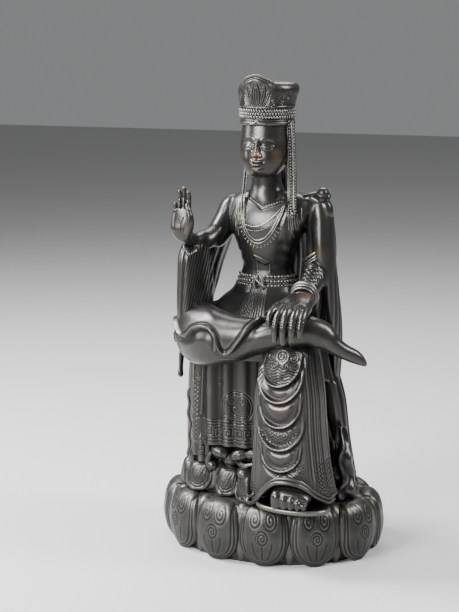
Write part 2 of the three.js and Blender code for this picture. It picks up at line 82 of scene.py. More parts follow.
def smooth(low: float, high: float, x: Array) -> Array:
    """A soft step from 0 at low to 1 at high."""
    share = np.clip((x - low) / (high - low), 0, 1)
    return share * share * (3 - 2 * share)


def band(x: Array, start: float, full: float, fall: float, end: float) -> Array:
    """A soft band that rises from 0 at start to 1 at full, and falls from 1 at fall to 0 at end."""
    return smooth(start, full, x) * (1 - smooth(fall, end, x))


def unit(ways: Array) -> Array:
    """Vectors cut to the length 1."""
    return ways / np.linalg.norm(ways, axis=-1, keepdims=True)


def run(steps: Array) -> Array:
    """The length gone at each place of a line, from the lengths of its steps."""
    return np.concatenate([[0], np.cumsum(steps)])


def spline(points: Stations | Array, shares: Array) -> Array:
    """Places on the smooth line through points.

    Args:
        points: The points that the line passes, in order.
        shares: How far along to read it, from 0 to 1.

    Returns:
        One place for each share.
    """
    points = np.asarray(points, float)
    padded = np.vstack([2 * points[0] - points[1], points, 2 * points[-1] - points[-2]])
    place = np.clip(shares, 0, 1) * (len(points) - 1)
    k = np.minimum(place.astype(int), len(points) - 2)
    t = (place - k)[:, None]
    a, b, c, d = (padded[k + i] for i in range(4))
    return b + 0.5 * t * (c - a + t * (2 * a - 5 * b + 4 * c - d + t * (3 * (b - c) + d - a)))


def traced(points: Stations | Array, count: int) -> Array:
    """A smooth line through points, as count places."""
    return spline(points, np.linspace(0, 1, count))


def spaced(line: Array, spacing: float) -> Array:
    """Places an even distance apart on a line of close places, from 1 after its start."""
    length = run(np.linalg.norm(np.diff(line, axis=0), axis=1))
    return np.stack([np.interp(np.arange(1.0, length[-1], spacing), length, way) for way in line.T], axis=1)


def swag(middle: float, low: float, half_width: float, rise: float) -> Array:
    """A hanging line as (x, z), with its lowest point at (middle, low)."""
    turn = np.radians(np.linspace(-90, 90, 11))
    return np.stack([middle + half_width * np.sin(turn), low + rise * (1 - np.cos(turn))], axis=-1)


def line_distance(places: Array, line: Array) -> Array:
    """The distance from each place to a line of straight stretches.

    Args:
        places: Places, each with as many coordinates as the line's.
        line: The line's corners, in order.

    Returns:
        One distance for each place, and FAR where the line is more than its reach away.
    """
    shape = places.shape[:-1]
    flat = places.reshape(-1, places.shape[-1])
    best = np.full(len(flat), FAR)
    reach = 8.0
    near = np.all((flat > line.min(0) - reach) & (flat < line.max(0) + reach), axis=1)
    found = flat[near]
    closest = np.full(len(found), FAR)
    for start, end in zip(line[:-1], line[1:]):
        way = end - start
        along = np.clip(((found - start) @ way) / max(way @ way, 1e-12), 0, 1)
        gap = found - start - along[:, None] * way
        closest = np.minimum(closest, np.einsum("ij,ij->i", gap, gap))
    best[near] = np.sqrt(closest)
    return best.reshape(shape)


def marked(x: Array, z: Array, line: Array, width: float) -> Array:
    """A mark of height 1 along straight stretches of (x, z), by half its width."""
    return bump(line_distance(np.stack([x, z], axis=-1), line), 0, width)


def drawn(x: Array, z: Array, points: Stations | Array, width: float) -> Array:
    """A mark of height 1 along the smooth line through points of (x, z), by half its width."""
    return marked(x, z, traced(points, 12 * len(points)), width)


# Patterns that the casting carries


def whorls(x: Array, z: Array, spirals: Stations, turns: float) -> Array:
    """Cloud whorls: the lines of spirals, 1 on a line and 0 away from it.

    Args:
        x: Across, for each place.
        z: Up, for each place.
        spirals: Each spiral's middle x and z, its outer radius, and 1 or -1 for the way that it turns.
        turns: How many times each goes round.

    Returns:
        The lines' height at each place.
    """
    lines = np.zeros_like(x)
    for middle, level, radius, hand in spirals:
        dx, dz = x - middle, z - level
        reach = np.hypot(dx, dz)
        phase = reach / radius * turns - hand * np.arctan2(dz, dx) / (2 * np.pi)
        line = (0.5 + 0.5 * np.cos(2 * np.pi * phase)) ** 1.5
        lines = np.maximum(lines, line * (1 - smooth(radius * 0.96, radius * 1.06, reach)))
    return lines


def scales(x: Array, z: Array, radius: float) -> Array:
    """Rows of overlapping wave scales, 1 on their lines.

    Args:
        x: Across, for each place.
        z: Up, for each place.
        radius: The radius of a scale.

    Returns:
        The lines' height at each place.
    """
    row = np.floor(z / radius * 2)
    lines = np.zeros_like(x)
    open_places = np.ones_like(x, bool)
    for step in range(0, 3):
        level = row - step
        shift = (level % 2) * radius
        middle = np.round((x - shift) / (2 * radius)) * 2 * radius + shift
        reach = np.hypot(x - middle, z - level * radius / 2)
        here = open_places & (reach < radius)
        rings = np.maximum(bump(reach, radius * 0.93, 0.32), bump(reach, radius * 0.5, 0.32))
        lines = np.where(here, rings, lines)
        open_places &= ~here
    return lines


def fret(x: Array, z: Array, cell: float, low: float) -> Array:
    """A row of square key patterns, 1 on their lines.

    Args:
        x: Across, for each place.
        z: Up, for each place.
        cell: The pattern's height, and nearly its width.
        low: The row's lower edge.

    Returns:
        The lines' height at each place.
    """
    key = [[0, 0], [0, 5], [5, 5], [5, 1], [2, 1], [2, 3.2], [3.5, 3.2]]
    across, up = (x / (cell / 5)) % 6.2, (z - low) / (cell / 5)
    return marked(across, up, np.asarray(key, float), 0.42) * smooth(-0.6, 0, up)


def lattice(x: Array, z: Array, pitch: float) -> Array:
    """Crossing slanted lines a pitch apart, 1 on the lines."""
    one, other = (0.5 + 0.5 * np.cos(2 * np.pi * way / pitch) for way in (x + z, x - z))
    return np.maximum(one**3, other**3)


def leaf(under: Array, x: Array, z: Array, foot: Station, size: Station, lean: float = 0.0) -> Array:
    """A pointed leaf with a midrib, drawn over what lies under it.

    Args:
        under: The lines drawn so far.
        x: Across, for each place.
        z: Up, for each place.
        foot: Where the leaf starts, as (x, z).
        size: Its half width and height.
        lean: How far its tip leans across for each unit of height.

    Returns:
        The lines' height at each place.
    """
    up = (z - foot[1]) / size[1]
    inside = (up > 0) & (up < 1)
    level = np.clip(up, 0, 1)
    girth = np.sin(np.pi * level**0.9) ** 0.7 + 1e-3
    aside = np.abs(x - foot[0] - lean * size[1] * level**1.6) / (size[0] * girth)
    lines = np.maximum(bump(aside, 0.9, 0.18), 0.7 * bump(aside, 0.3, 0.14) * (up < 0.75))
    return np.where(inside & (aside < 1.15), lines, under)


# Skins


@dataclass
class Shell:
    """A closed skin of four-sided and three-sided faces.

    Attributes:
        points: The corners' places.
        quads: Four corner numbers for each four-sided face.
        tris: Three corner numbers for each three-sided face.
    """

    points: Array
    quads: Array
    tris: Array

    @staticmethod
    def joined(shells: Sequence["Shell"]) -> "Shell":
        """Several skins as one.

        Args:
            shells: The skins.

        Returns:
            A skin that holds all their faces.
        """
        starts = np.cumsum([0] + [len(shell.points) for shell in shells[:-1]])
        return Shell(
            np.vstack([shell.points for shell in shells]),
            np.vstack([shell.quads + start for shell, start in zip(shells, starts)]),
            np.vstack([shell.tris + start for shell, start in zip(shells, starts)]),
        )


def skin_of(rings: Array) -> Shell:
    """Closes a stack of equal rings, each end with a fan to its middle.

    Args:
        rings: Places by ring and corner.

    Returns:
        The closed skin.
    """
    count, sides = rings.shape[:2]
    corner = np.arange(sides)
    after = (corner + 1) % sides
    base = np.arange(count - 1)[:, None] * sides
    quads = np.stack([base + corner, base + after, base + after + sides, base + corner + sides], axis=-1)
    last = (count - 1) * sides
    hub = count * sides
    first_fan = np.stack([np.full(sides, hub), after, corner], axis=1)
    last_fan = np.stack([np.full(sides, hub + 1), last + corner, last + after], axis=1)
    points = np.vstack([rings.reshape(-1, 3), rings[0].mean(0), rings[-1].mean(0)])
    return Shell(points, quads.reshape(-1, 4), np.vstack([first_fan, last_fan]))


@dataclass
class Loft:
    """A closed body through stations (x, y, z, half width, half depth).

    Attributes:
        stations: The stations, along the body.
        step: The distance between rings, and between a ring's corners.
        across: The way that a ring's width lies.
        level: Whether the rings are level, and not square to the spine.
        power: Above 2, the rings are squarer.
        front: How many times finer the corners stand around front_angle.
        front_angle: The middle of the finer side, in degrees.
        carve: Gives what is added to the radius from (degrees, share along, places).
    """

    stations: Stations
    step: float = 1.0
    across: Station = (1, 0, 0)
    level: bool = False
    power: float = 2.0
    front: float = 1.0
    front_angle: float = -90.0
    carve: Callable[[Array, Array, Array], Array] | None = None

    def shares(self) -> Array:
        """How far along each ring stands, for rings an even distance apart.

        Returns:
            A share from 0 to 1 for each ring.
        """
        dense = np.linspace(0, 1, 600)
        length = run(np.linalg.norm(np.diff(spline(self.stations, dense), axis=0), axis=1))
        count = max(4, int(length[-1] / self.step) + 1)
        return np.interp(np.linspace(0, length[-1], count), length, dense)

    def angles(self) -> Array:
        """Where a ring's corners stand: an even distance apart on the widest ring, and finer at the front.

        Returns:
            The corners' angles, in radians.
        """
        stations = np.asarray(self.stations, float)
        half_width, half_depth = stations[:, 3:5].max(0)
        dense = np.linspace(-np.pi, np.pi, 1441)
        x, y = half_width * self.powered(np.cos(dense)), half_depth * self.powered(np.sin(dense))
        toward = 0.5 + 0.5 * np.cos(dense - math.radians(self.front_angle))
        weight = 1 + (self.front - 1) * smooth(0.25, 0.6, toward)
        length = run(np.hypot(np.diff(x), np.diff(y)) * weight[1:])
        count = max(8, int(length[-1] / (self.step * self.front)) + 1)
        return np.interp(np.arange(count) * length[-1] / count, length, dense)

    def powered(self, part: Array) -> Array:
        """A cosine or sine bent to the ring's power."""
        return np.sign(part) * np.abs(part) ** (2 / self.power)

    def build(self) -> Shell:
        """Makes the skin.

        Returns:
            The closed skin.
        """
        shares, angles = self.shares(), self.angles()
        stations = np.asarray(self.stations, float)
        middles = spline(stations[:, :3], shares)
        girths = np.maximum(spline(stations[:, 3:5], shares), 0.05)
        if self.level:
            along = np.tile([0.0, 0.0, 1.0], (len(shares), 1))
        else:
            small = 1e-3
            along = unit(spline(stations[:, :3], shares + small) - spline(stations[:, :3], shares - small))
        across = np.asarray(self.across, float)
        wide = unit(across - (along @ across)[:, None] * along)
        deep = np.cross(along, wide)
        c, s = self.powered(np.cos(angles)), self.powered(np.sin(angles))
        rings = middles[:, None] + (girths[:, :1] * c)[..., None] * wide[:, None]
        rings = rings + (girths[:, 1:] * s)[..., None] * deep[:, None]
        if self.carve:
            degrees = np.degrees(np.arctan2(np.sin(angles), np.cos(angles)))
            extra = self.carve(degrees[None, :], shares[:, None], rings)
            out = np.cos(angles)[:, None] * wide[:, None] + np.sin(angles)[:, None] * deep[:, None]
            rings = rings + extra[..., None] * out
        return skin_of(rings)


def cord(points: Stations | Array, radius: float, sides: int = 10, step: float = 0.8, twist: float = 0.0,
         taper: float = 0.0) -> Shell:
    """A cord along a smooth line, with rounded ends.

    Args:
        points: The line's points.
        radius: The cord's radius.
        sides: How many corners its section has.
        step: The distance from ring to ring.
        twist: Above 0, the pitch of the strands that it is twisted from.
        taper: How much of the radius is lost towards both ends, from 0 to 1.

    Returns:
        The cord's skin.
    """
    points = np.asarray(points, float)
    length = np.linalg.norm(np.diff(traced(points, 200), axis=0), axis=1).sum()
    count = max(4, int(length / step) + 1)
    shares = np.linspace(0, 1, count)
    middles = spline(points, shares)
    along = unit(np.gradient(middles, axis=0))
    side = np.cross(along, [0.0, 1.0, 0.0])
    side[np.linalg.norm(side, axis=1) < 1e-6] = [1, 0, 0]
    side = unit(side)
    deep = np.cross(along, side)
    ends = np.sqrt(np.clip(1 - (1 - np.minimum(shares, 1 - shares) * length / radius).clip(0) ** 2, 0.04, 1))
    girth = radius * ends * (1 - taper * (2 * np.abs(shares - 0.5)) ** 2)
    angle = 2 * np.pi * np.arange(sides) / sides
    strands = np.ones((count, sides))
    if twist:
        strands = 1 + 0.22 * np.cos(2 * (angle[None, :] - 2 * np.pi * shares[:, None] * length / twist))
    reach = girth[:, None] * strands
    rings = middles[:, None] + (reach * np.cos(angle))[..., None] * side[:, None]
    rings = rings + (reach * np.sin(angle))[..., None] * deep[:, None]
    return skin_of(rings)


def bead(place: Station, size: Station, lean: float = 0.0) -> Shell:
    """A small round bead or grain.

    Args:
        place: Its middle.
        size: Its half lengths along x, y and z.
        lean: How far it leans in the x-z plane, in radians.

    Returns:
        The bead's skin.
    """
    rows, sides = 6, 9
    rise = np.linspace(-0.97, 0.97, rows) * np.pi / 2
    turn = 2 * np.pi * np.arange(sides) / sides
    x = np.cos(rise)[:, None] * np.cos(turn) * size[0]
    y = np.cos(rise)[:, None] * np.sin(turn) * size[1]
    z = np.sin(rise)[:, None] * np.ones(sides) * size[2]
    c, s = math.cos(lean), math.sin(lean)
    return skin_of(np.stack([x * c + z * s, y, z * c - x * s], -1) + np.asarray(place, float))


def front_of(stations: Stations, x: float, z: float, power: float) -> float:
    """The y of a level body's front at x and z.

    Args:
        stations: The body's stations, rising in z.
        x: Across.
        z: Up.
        power: The squareness of its rings.

    Returns:
        The front's y.
    """
    table = np.asarray(stations, float)
    cx, cy, half_width, half_depth = (np.interp(z, table[:, 2], table[:, i]) for i in (0, 1, 3, 4))
    return cy - half_depth * (1 - min(1.0, abs(x - cx) / half_width) ** power) ** (1 / power)


# Finishes


@dataclass(frozen=True)
class Finish:
    """A patina on cast bronze.

    Attributes:
        name: The material's name.
        slot: The record's material slot; not used.
        base: The patina's colour.
        rub: The colour where it is rubbed.
        recess: The colour in its grooves.
        gloss_roughness: The roughness of smooth places.
        dull_roughness: The roughness of grooves and cast skin.
        grain: The height of the cast skin's grain.
        METALLIC: How metallic all the bronze is.
        SPECULAR: Its specular level.
        COAT: The weight of its coat of wax.
    """

    name: str
    slot: str
    base: tuple[float, float, float]
    rub: tuple[float, float, float]
    recess: tuple[float, float, float]
    gloss_roughness: float
    dull_roughness: float
    grain: float

    METALLIC = 0.75
    SPECULAR = 0.55
    COAT = 0.12

    def material(self) -> bpy.types.Material:
        """The finish as a material, built on its first call.

        Returns:
            The material.
        """
        if self.name in bpy.data.materials:
            return bpy.data.materials[self.name]
        material = bpy.data.materials.new(self.name)
        material.use_nodes = True
        tree = material.node_tree
        shader = tree.nodes["Principled BSDF"]
        shader.inputs["Metallic"].default_value = self.METALLIC
        shader.inputs["Specular IOR Level"].default_value = self.SPECULAR
        shader.inputs["Coat Weight"].default_value = self.COAT
        shader.inputs["Coat Roughness"].default_value = self.gloss_roughness
        wear = tree.nodes.new("ShaderNodeGroup")
        wear.node_tree = patina_group()
        for socket, value in (("Base", self.base), ("Rub", self.rub), ("Recess", self.recess)):
            wear.inputs[socket].default_value = (*value, 1)
        wear.inputs["Gloss Roughness"].default_value = self.gloss_roughness
        wear.inputs["Dull Roughness"].default_value = self.dull_roughness
        skin = tree.nodes.new("ShaderNodeGroup")
        skin.node_tree = cast_skin_group()
        skin.inputs["Grain"].default_value = self.grain
        tree.links.new(wear.outputs["Color"], shader.inputs["Base Color"])
        tree.links.new(wear.outputs["Roughness"], shader.inputs["Roughness"])
        tree.links.new(skin.outputs["Normal"], shader.inputs["Normal"])
        return material


class Bronze(Enum):
    """The finishes on this casting."""

    ROBE = Finish("dark_robe_bronze", "figure_bronze", (0.034, 0.0335, 0.0325), (0.19, 0.112, 0.060),
                  (0.006, 0.006, 0.006), 0.28, 0.48, 0.30)
    SKIN = Finish("rubbed_skin_bronze", "figure_bronze", (0.044, 0.042, 0.040), (0.22, 0.125, 0.065),
                  (0.007, 0.006, 0.0055), 0.24, 0.44, 0.18)
    TRIM = Finish("bright_trim_bronze", "figure_bronze", (0.054, 0.053, 0.051), (0.20, 0.14, 0.09),
                  (0.006, 0.006, 0.006), 0.27, 0.48, 0.22)
    PLINTH = Finish("dull_plinth_bronze", "plinth_bronze", (0.029, 0.029, 0.0285), (0.12, 0.09, 0.06),
                    (0.007, 0.007, 0.0065), 0.36, 0.58, 0.50)


def new_group(name: str, inputs: Sequence[tuple[str, str, object]], outputs: Sequence[tuple[str, str]]
              ) -> bpy.types.NodeTree:
    """An empty shader node group with its sockets.

    Args:
        name: The group's name.
        inputs: Each input's name, socket type and value.
        outputs: Each output's name and socket type.

    Returns:
        The group, with a Group Input and a Group Output node.
    """
    group = bpy.data.node_groups.new(name, "ShaderNodeTree")
    for label, kind, value in inputs:
        socket = group.interface.new_socket(label, in_out="INPUT", socket_type=kind)
        socket.default_value = value
    for label, kind in outputs:
        group.interface.new_socket(label, in_out="OUTPUT", socket_type=kind)
    group.nodes.new("NodeGroupInput")
    group.nodes.new("NodeGroupOutput")
    return group


@dataclass
class Wiring:
    """Adds and joins nodes in one node tree.

    Attributes:
        tree: The node tree.
    """

    tree: bpy.types.NodeTree

    def add(self, kind: str, settings: dict | None = None, **inputs: object) -> bpy.types.Node:
        """Adds a node.

        Args:
            kind: The node's type.
            settings: Its properties.
            inputs: Values or outputs for its inputs; i0 is the first input, and so on.

        Returns:
            The node.
        """
        node = self.tree.nodes.new(kind)
        for key, value in (settings or {}).items():
            setattr(node, key, value)
        for key, value in inputs.items():
            number = key[1:]
            socket = node.inputs[int(number)] if number.isdigit() else node.inputs[key.replace("_", " ")]
            if isinstance(value, bpy.types.NodeSocket):
                self.tree.links.new(value, socket)
            else:
                socket.default_value = value
        return node

    def math(self, operation: str, a: object, b: object, clamp: bool = False) -> bpy.types.NodeSocket:
        """The result of a new Math node, kept from 0 to 1 where clamp is true."""
        return self.add("ShaderNodeMath", {"operation": operation, "use_clamp": clamp}, i0=a, i1=b).outputs[0]

    def blend(self, factor: object, a: object, b: object) -> bpy.types.NodeSocket:
        """The colour of a new Mix node, with the factor's share of b."""
        return self.add("ShaderNodeMix", {"data_type": "RGBA"}, i0=factor, i6=a, i7=b).outputs[2]


def patina_group() -> bpy.types.NodeTree:
    """The wear on all the bronze: dark grooves, rubbed edges, warm rubs and clouded patina.

    Returns:
        The node group, built on the first call.
    """
    name = "worn_patina"
    if name in bpy.data.node_groups:
        return bpy.data.node_groups[name]
    group = new_group(
        name,
        [("Base", "NodeSocketColor", (0.05, 0.05, 0.05, 1)), ("Rub", "NodeSocketColor", (0.3, 0.2, 0.1, 1)),
         ("Recess", "NodeSocketColor", (0.01, 0.01, 0.01, 1)), ("Gloss Roughness", "NodeSocketFloat", 0.3),
         ("Dull Roughness", "NodeSocketFloat", 0.5)],
        [("Color", "NodeSocketColor"), ("Roughness", "NodeSocketFloat")],
    )
    wires = Wiring(group)
    given = group.nodes["Group Input"].outputs
    place = wires.add("ShaderNodeTexCoord").outputs["Object"]
    cloud = wires.add("ShaderNodeTexNoise", Vector=place, Scale=38.0, Detail=6.0, Roughness=0.6).outputs[0]
    fleck = wires.add("ShaderNodeTexNoise", Vector=place, Scale=420.0, Detail=4.0, Roughness=0.7).outputs[0]
    ridge = wires.add("ShaderNodeAttribute", {"attribute_name": "ridge"}).outputs["Fac"]
    rub = wires.add("ShaderNodeAttribute", {"attribute_name": "rub"}).outputs["Fac"]
    groove = wires.math("MULTIPLY", wires.math("MULTIPLY", ridge, -1.0), 2.6, clamp=True)
    edge = wires.math("MULTIPLY", ridge, 1.1, clamp=True)
    broken = wires.math("MULTIPLY", edge, wires.math("ADD", fleck, 0.35), clamp=True)
    lighter = wires.add("ShaderNodeMix", {"data_type": "RGBA", "blend_type": "MULTIPLY"}, i0=1.0,
                        i6=given["Base"], i7=(2.7, 2.65, 2.55, 1)).outputs[2]
    tone = wires.math("MULTIPLY_ADD", cloud, 1.6)
    tone.node.inputs[2].default_value = -0.45
    tone.node.use_clamp = True
    clouded = wires.blend(wires.math("MULTIPLY", tone, 0.5), given["Base"], given["Recess"])
    worn = wires.blend(broken, clouded, lighter)
    warm = wires.math("MULTIPLY", rub, wires.math("ADD", fleck, 0.25), clamp=True)
    warmed = wires.blend(warm, worn, given["Rub"])
    color = wires.blend(groove, warmed, given["Recess"])
    clouds = wires.math("MULTIPLY", tone, 0.35)
    dull = wires.math("ADD", wires.math("MULTIPLY", groove, 0.7), clouds, clamp=True)
    rough = wires.add("ShaderNodeMix", {"data_type": "FLOAT"}, i0=dull, i2=given["Gloss Roughness"],
                      i3=given["Dull Roughness"]).outputs[0]
    sink = group.nodes["Group Output"].inputs
    group.links.new(color, sink["Color"])
    group.links.new(rough, sink["Roughness"])
    return group


def cast_skin_group() -> bpy.types.NodeTree:
    """The fine unevenness that sand or wax leaves on all the bronze.

    Returns:
        The node group, built on the first call.
    """
    name = "cast_skin"
    if name in bpy.data.node_groups:
        return bpy.data.node_groups[name]
    group = new_group(name, [("Grain", "NodeSocketFloat", 0.3)], [("Normal", "NodeSocketVector")])
    wires = Wiring(group)
    place = wires.add("ShaderNodeTexCoord").outputs["Object"]
    fine = wires.add("ShaderNodeTexNoise", Vector=place, Scale=900.0, Detail=3.0, Roughness=0.55).outputs[0]
    broad = wires.add("ShaderNodeTexNoise", Vector=place, Scale=150.0, Detail=2.0, Roughness=0.5).outputs[0]
    height = wires.math("ADD", wires.math("MULTIPLY", fine, 0.35), broad)
    scaled = wires.math("MULTIPLY", height, group.nodes["Group Input"].outputs["Grain"])
    normal = wires.add("ShaderNodeBump", Strength=1.0, Distance=0.0006, Height=scaled).outputs[0]
    group.links.new(normal, group.nodes["Group Output"].inputs["Normal"])
    return group


# The workshop: skins into finished pieces


@dataclass
class Rub:
    """A place where hands or cloths have rubbed the patina warm.

    Attributes:
        place: Its middle, in figure units.
        reach: Its radius.
        strength: How warm it is, from 0 to 1.
    """

    place: Station
    reach: float
    strength: float


def triangles(mesh: bpy.types.Mesh) -> int:
    """How many triangles a mesh's faces make."""
    return sum(len(face.vertices) - 2 for face in mesh.polygons)


@dataclass
class Workshop:
    """Turns skins in figure units into finished pieces in the model's own place.

    Attributes:
        unit: One figure unit in metres.
        floor: The height of the figure's own zero, in metres.
        pieces: The finished pieces.
        rubs: The rubbed places on the figure.
        kept: The share of its triangles that a piece keeps.
    """

    unit: float
    floor: float
    pieces: list[bpy.types.Object] = field(default_factory=list)
    rubs: list[Rub] = field(default_factory=list)
    kept: float = 0.55

    def mesh(self, name: str, shell: Shell) -> bpy.types.Mesh:
        """A mesh from a skin.

        Args:
            name: The mesh's name.
            shell: The skin.

        Returns:
            The mesh, smooth shaded.
        """
        mesh = bpy.data.meshes.new(name)
        corners = np.concatenate([shell.quads.ravel(), shell.tris.ravel()]).astype(np.int32)
        sizes = np.concatenate([np.full(len(shell.quads), 4), np.full(len(shell.tris), 3)])
        mesh.vertices.add(len(shell.points))
        mesh.vertices.foreach_set("co", shell.points.astype(np.float32).ravel())
        mesh.loops.add(len(corners))
        mesh.loops.foreach_set("vertex_index", corners)
        mesh.polygons.add(len(sizes))
        mesh.polygons.foreach_set("loop_start", (np.cumsum(sizes) - sizes).astype(np.int32))
        mesh.polygons.foreach_set("use_smooth", np.ones(len(sizes), bool))
        mesh.update(calc_edges=True)
        mesh.validate()
        return mesh

    def changed(self, mesh: bpy.types.Mesh, kind: str, **settings: object) -> bpy.types.Mesh:
        """A mesh after one modifier.

        Args:
            mesh: The mesh; it is removed.
            kind: The modifier's type.
            settings: Its properties.

        Returns:
            The new mesh.
        """
        name = mesh.name
        holder = bpy.data.objects.new(name, mesh)
        bpy.context.scene.collection.objects.link(holder)
        modifier = holder.modifiers.new(kind, kind)
        for key, value in settings.items():
            setattr(modifier, key, value)
        graph = bpy.context.evaluated_depsgraph_get()
        result = bpy.data.meshes.new_from_object(holder.evaluated_get(graph))
        bpy.data.objects.remove(holder)
        bpy.data.meshes.remove(mesh)
        result.name = name
        return result

    def fused(self, name: str, shells: Sequence[Shell], voxel: float, passes: int) -> bpy.types.Mesh:
        """Melts skins that run into each other into one, and softens where they meet.

        Args:
            name: The mesh's name.
            shells: The skins.
            voxel: How fine the new skin is.
            passes: How often it is softened.

        Returns:
            The new mesh.
        """
        size = voxel * 1.0
        mesh = self.mesh(name, Shell.joined(shells))
        mesh = self.changed(mesh, "REMESH", mode="VOXEL", voxel_size=size, use_smooth_shade=True)
        self.place(mesh, softened(self.places(mesh), self.edges(mesh), passes))
        return mesh

    def read(self, items: bpy.types.bpy_prop_collection, name: str, width: int, kind: type) -> Array:
        """Reads one property of a mesh's items.

        Args:
            items: The items, such as its corners.
            name: The property.
            width: How many numbers each item has.
            kind: The numbers' type.

        Returns:
            A row of numbers for each item.
        """
        values = np.empty(len(items) * width, kind)
        items.foreach_get(name, values)
        return values.reshape(-1, width)

    def places(self, mesh: bpy.types.Mesh) -> Array:
        """The places of a mesh's corners."""
        return self.read(mesh.vertices, "co", 3, np.float32).astype(float)

    def place(self, mesh: bpy.types.Mesh, points: Array) -> None:
        """Puts a mesh's corners at new places."""
        mesh.vertices.foreach_set("co", points.astype(np.float32).ravel())
        mesh.update()

    def edges(self, mesh: bpy.types.Mesh) -> Array:
        """The two corners of each edge of a mesh."""
        return self.read(mesh.edges, "vertices", 2, np.int32)

    def normals(self, mesh: bpy.types.Mesh) -> Array:
        """The outward way at each corner of a mesh."""
        return self.read(mesh.vertex_normals, "vector", 3, np.float32).astype(float)

    def finish(self, name: str, made: bpy.types.Mesh | Sequence[Shell], bronze: Bronze,
               node: str = FIGURE_NODE, relief: Relief | None = None, limit: int = 190_000,
               span: int = 7, soft: float = 0.3) -> None:
        """Adds relief and wear to a skin, thins it, and sets it in its place as a piece.

        Args:
            name: The piece's name.
            made: A mesh, or skins that become one.
            bronze: Its finish.
            node: The node that it stands for.
            relief: Gives what is added along the normals, from places and normals.
            limit: The most triangles that the piece may have.
            span: How many softening passes its wear is measured over.
            soft: The height in figure units that counts as a full edge.
        """
        mesh = made if isinstance(made, bpy.types.Mesh) else self.mesh(name, Shell.joined(list(made)))
        if relief:
            points, normals = self.places(mesh), self.normals(mesh)
            self.place(mesh, points + relief(points, normals)[:, None] * normals)
        points = self.places(mesh)
        gap = points - softened(points, self.edges(mesh), span)
        ridge = np.einsum("ij,ij->i", gap, self.normals(mesh)) / soft
        rub = np.zeros(len(points))
        if node == FIGURE_NODE:
            for spot in self.rubs:
                reach = np.linalg.norm(points - np.asarray(spot.place), axis=1)
                rub = np.maximum(rub, spot.strength * (1 - smooth(0.4, 1.0, reach / spot.reach)))
        for label, values in (("ridge", np.clip(ridge, -1, 1)), ("rub", rub)):
            mesh.attributes.new(label, "FLOAT", "POINT").data.foreach_set("value", values.astype(np.float32))
        mesh = self.changed(mesh, "DECIMATE", ratio=min(self.kept, limit / triangles(mesh)))
        mesh.polygons.foreach_set("use_smooth", np.ones(len(mesh.polygons), bool))
        points = self.places(mesh) * self.unit + [0, 0, self.floor]
        points[:, 2] = np.maximum(points[:, 2], 0)
        self.place(mesh, points)
        piece = bpy.data.objects.new(name, mesh)
        bpy.context.scene.collection.objects.link(piece)
        mesh.materials.append(bronze.value.material())
        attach(piece, BODY)
        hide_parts(node)
        self.pieces.append(piece)
        log.info("%s: %d triangles", name, triangles(mesh))


def softened(points: Array, edges: Array, passes: int) -> Array:
    """Moves each corner halfway to the mean of its neighbours, some times over.

    Args:
        points: The corners' places.
        edges: The two corners of each edge.
        passes: How many times.

    Returns:
        The new places.
    """
    count = len(points)
    one, other = edges[:, 0], edges[:, 1]
    degree = np.maximum(np.bincount(one, minlength=count) + np.bincount(other, minlength=count), 1)
    for _ in range(passes):
        total = np.empty_like(points)
        for axis in range(3):
            line = points[:, axis]
            total[:, axis] = np.bincount(one, line[other], count) + np.bincount(other, line[one], count)
        points = 0.5 * points + 0.5 * total / degree[:, None]
    return points


# The sub-assemblies


@dataclass
class Part:
    """A sub-assembly of the casting.

    Attributes:
        shop: The workshop that finishes its pieces.
    """

    shop: Workshop


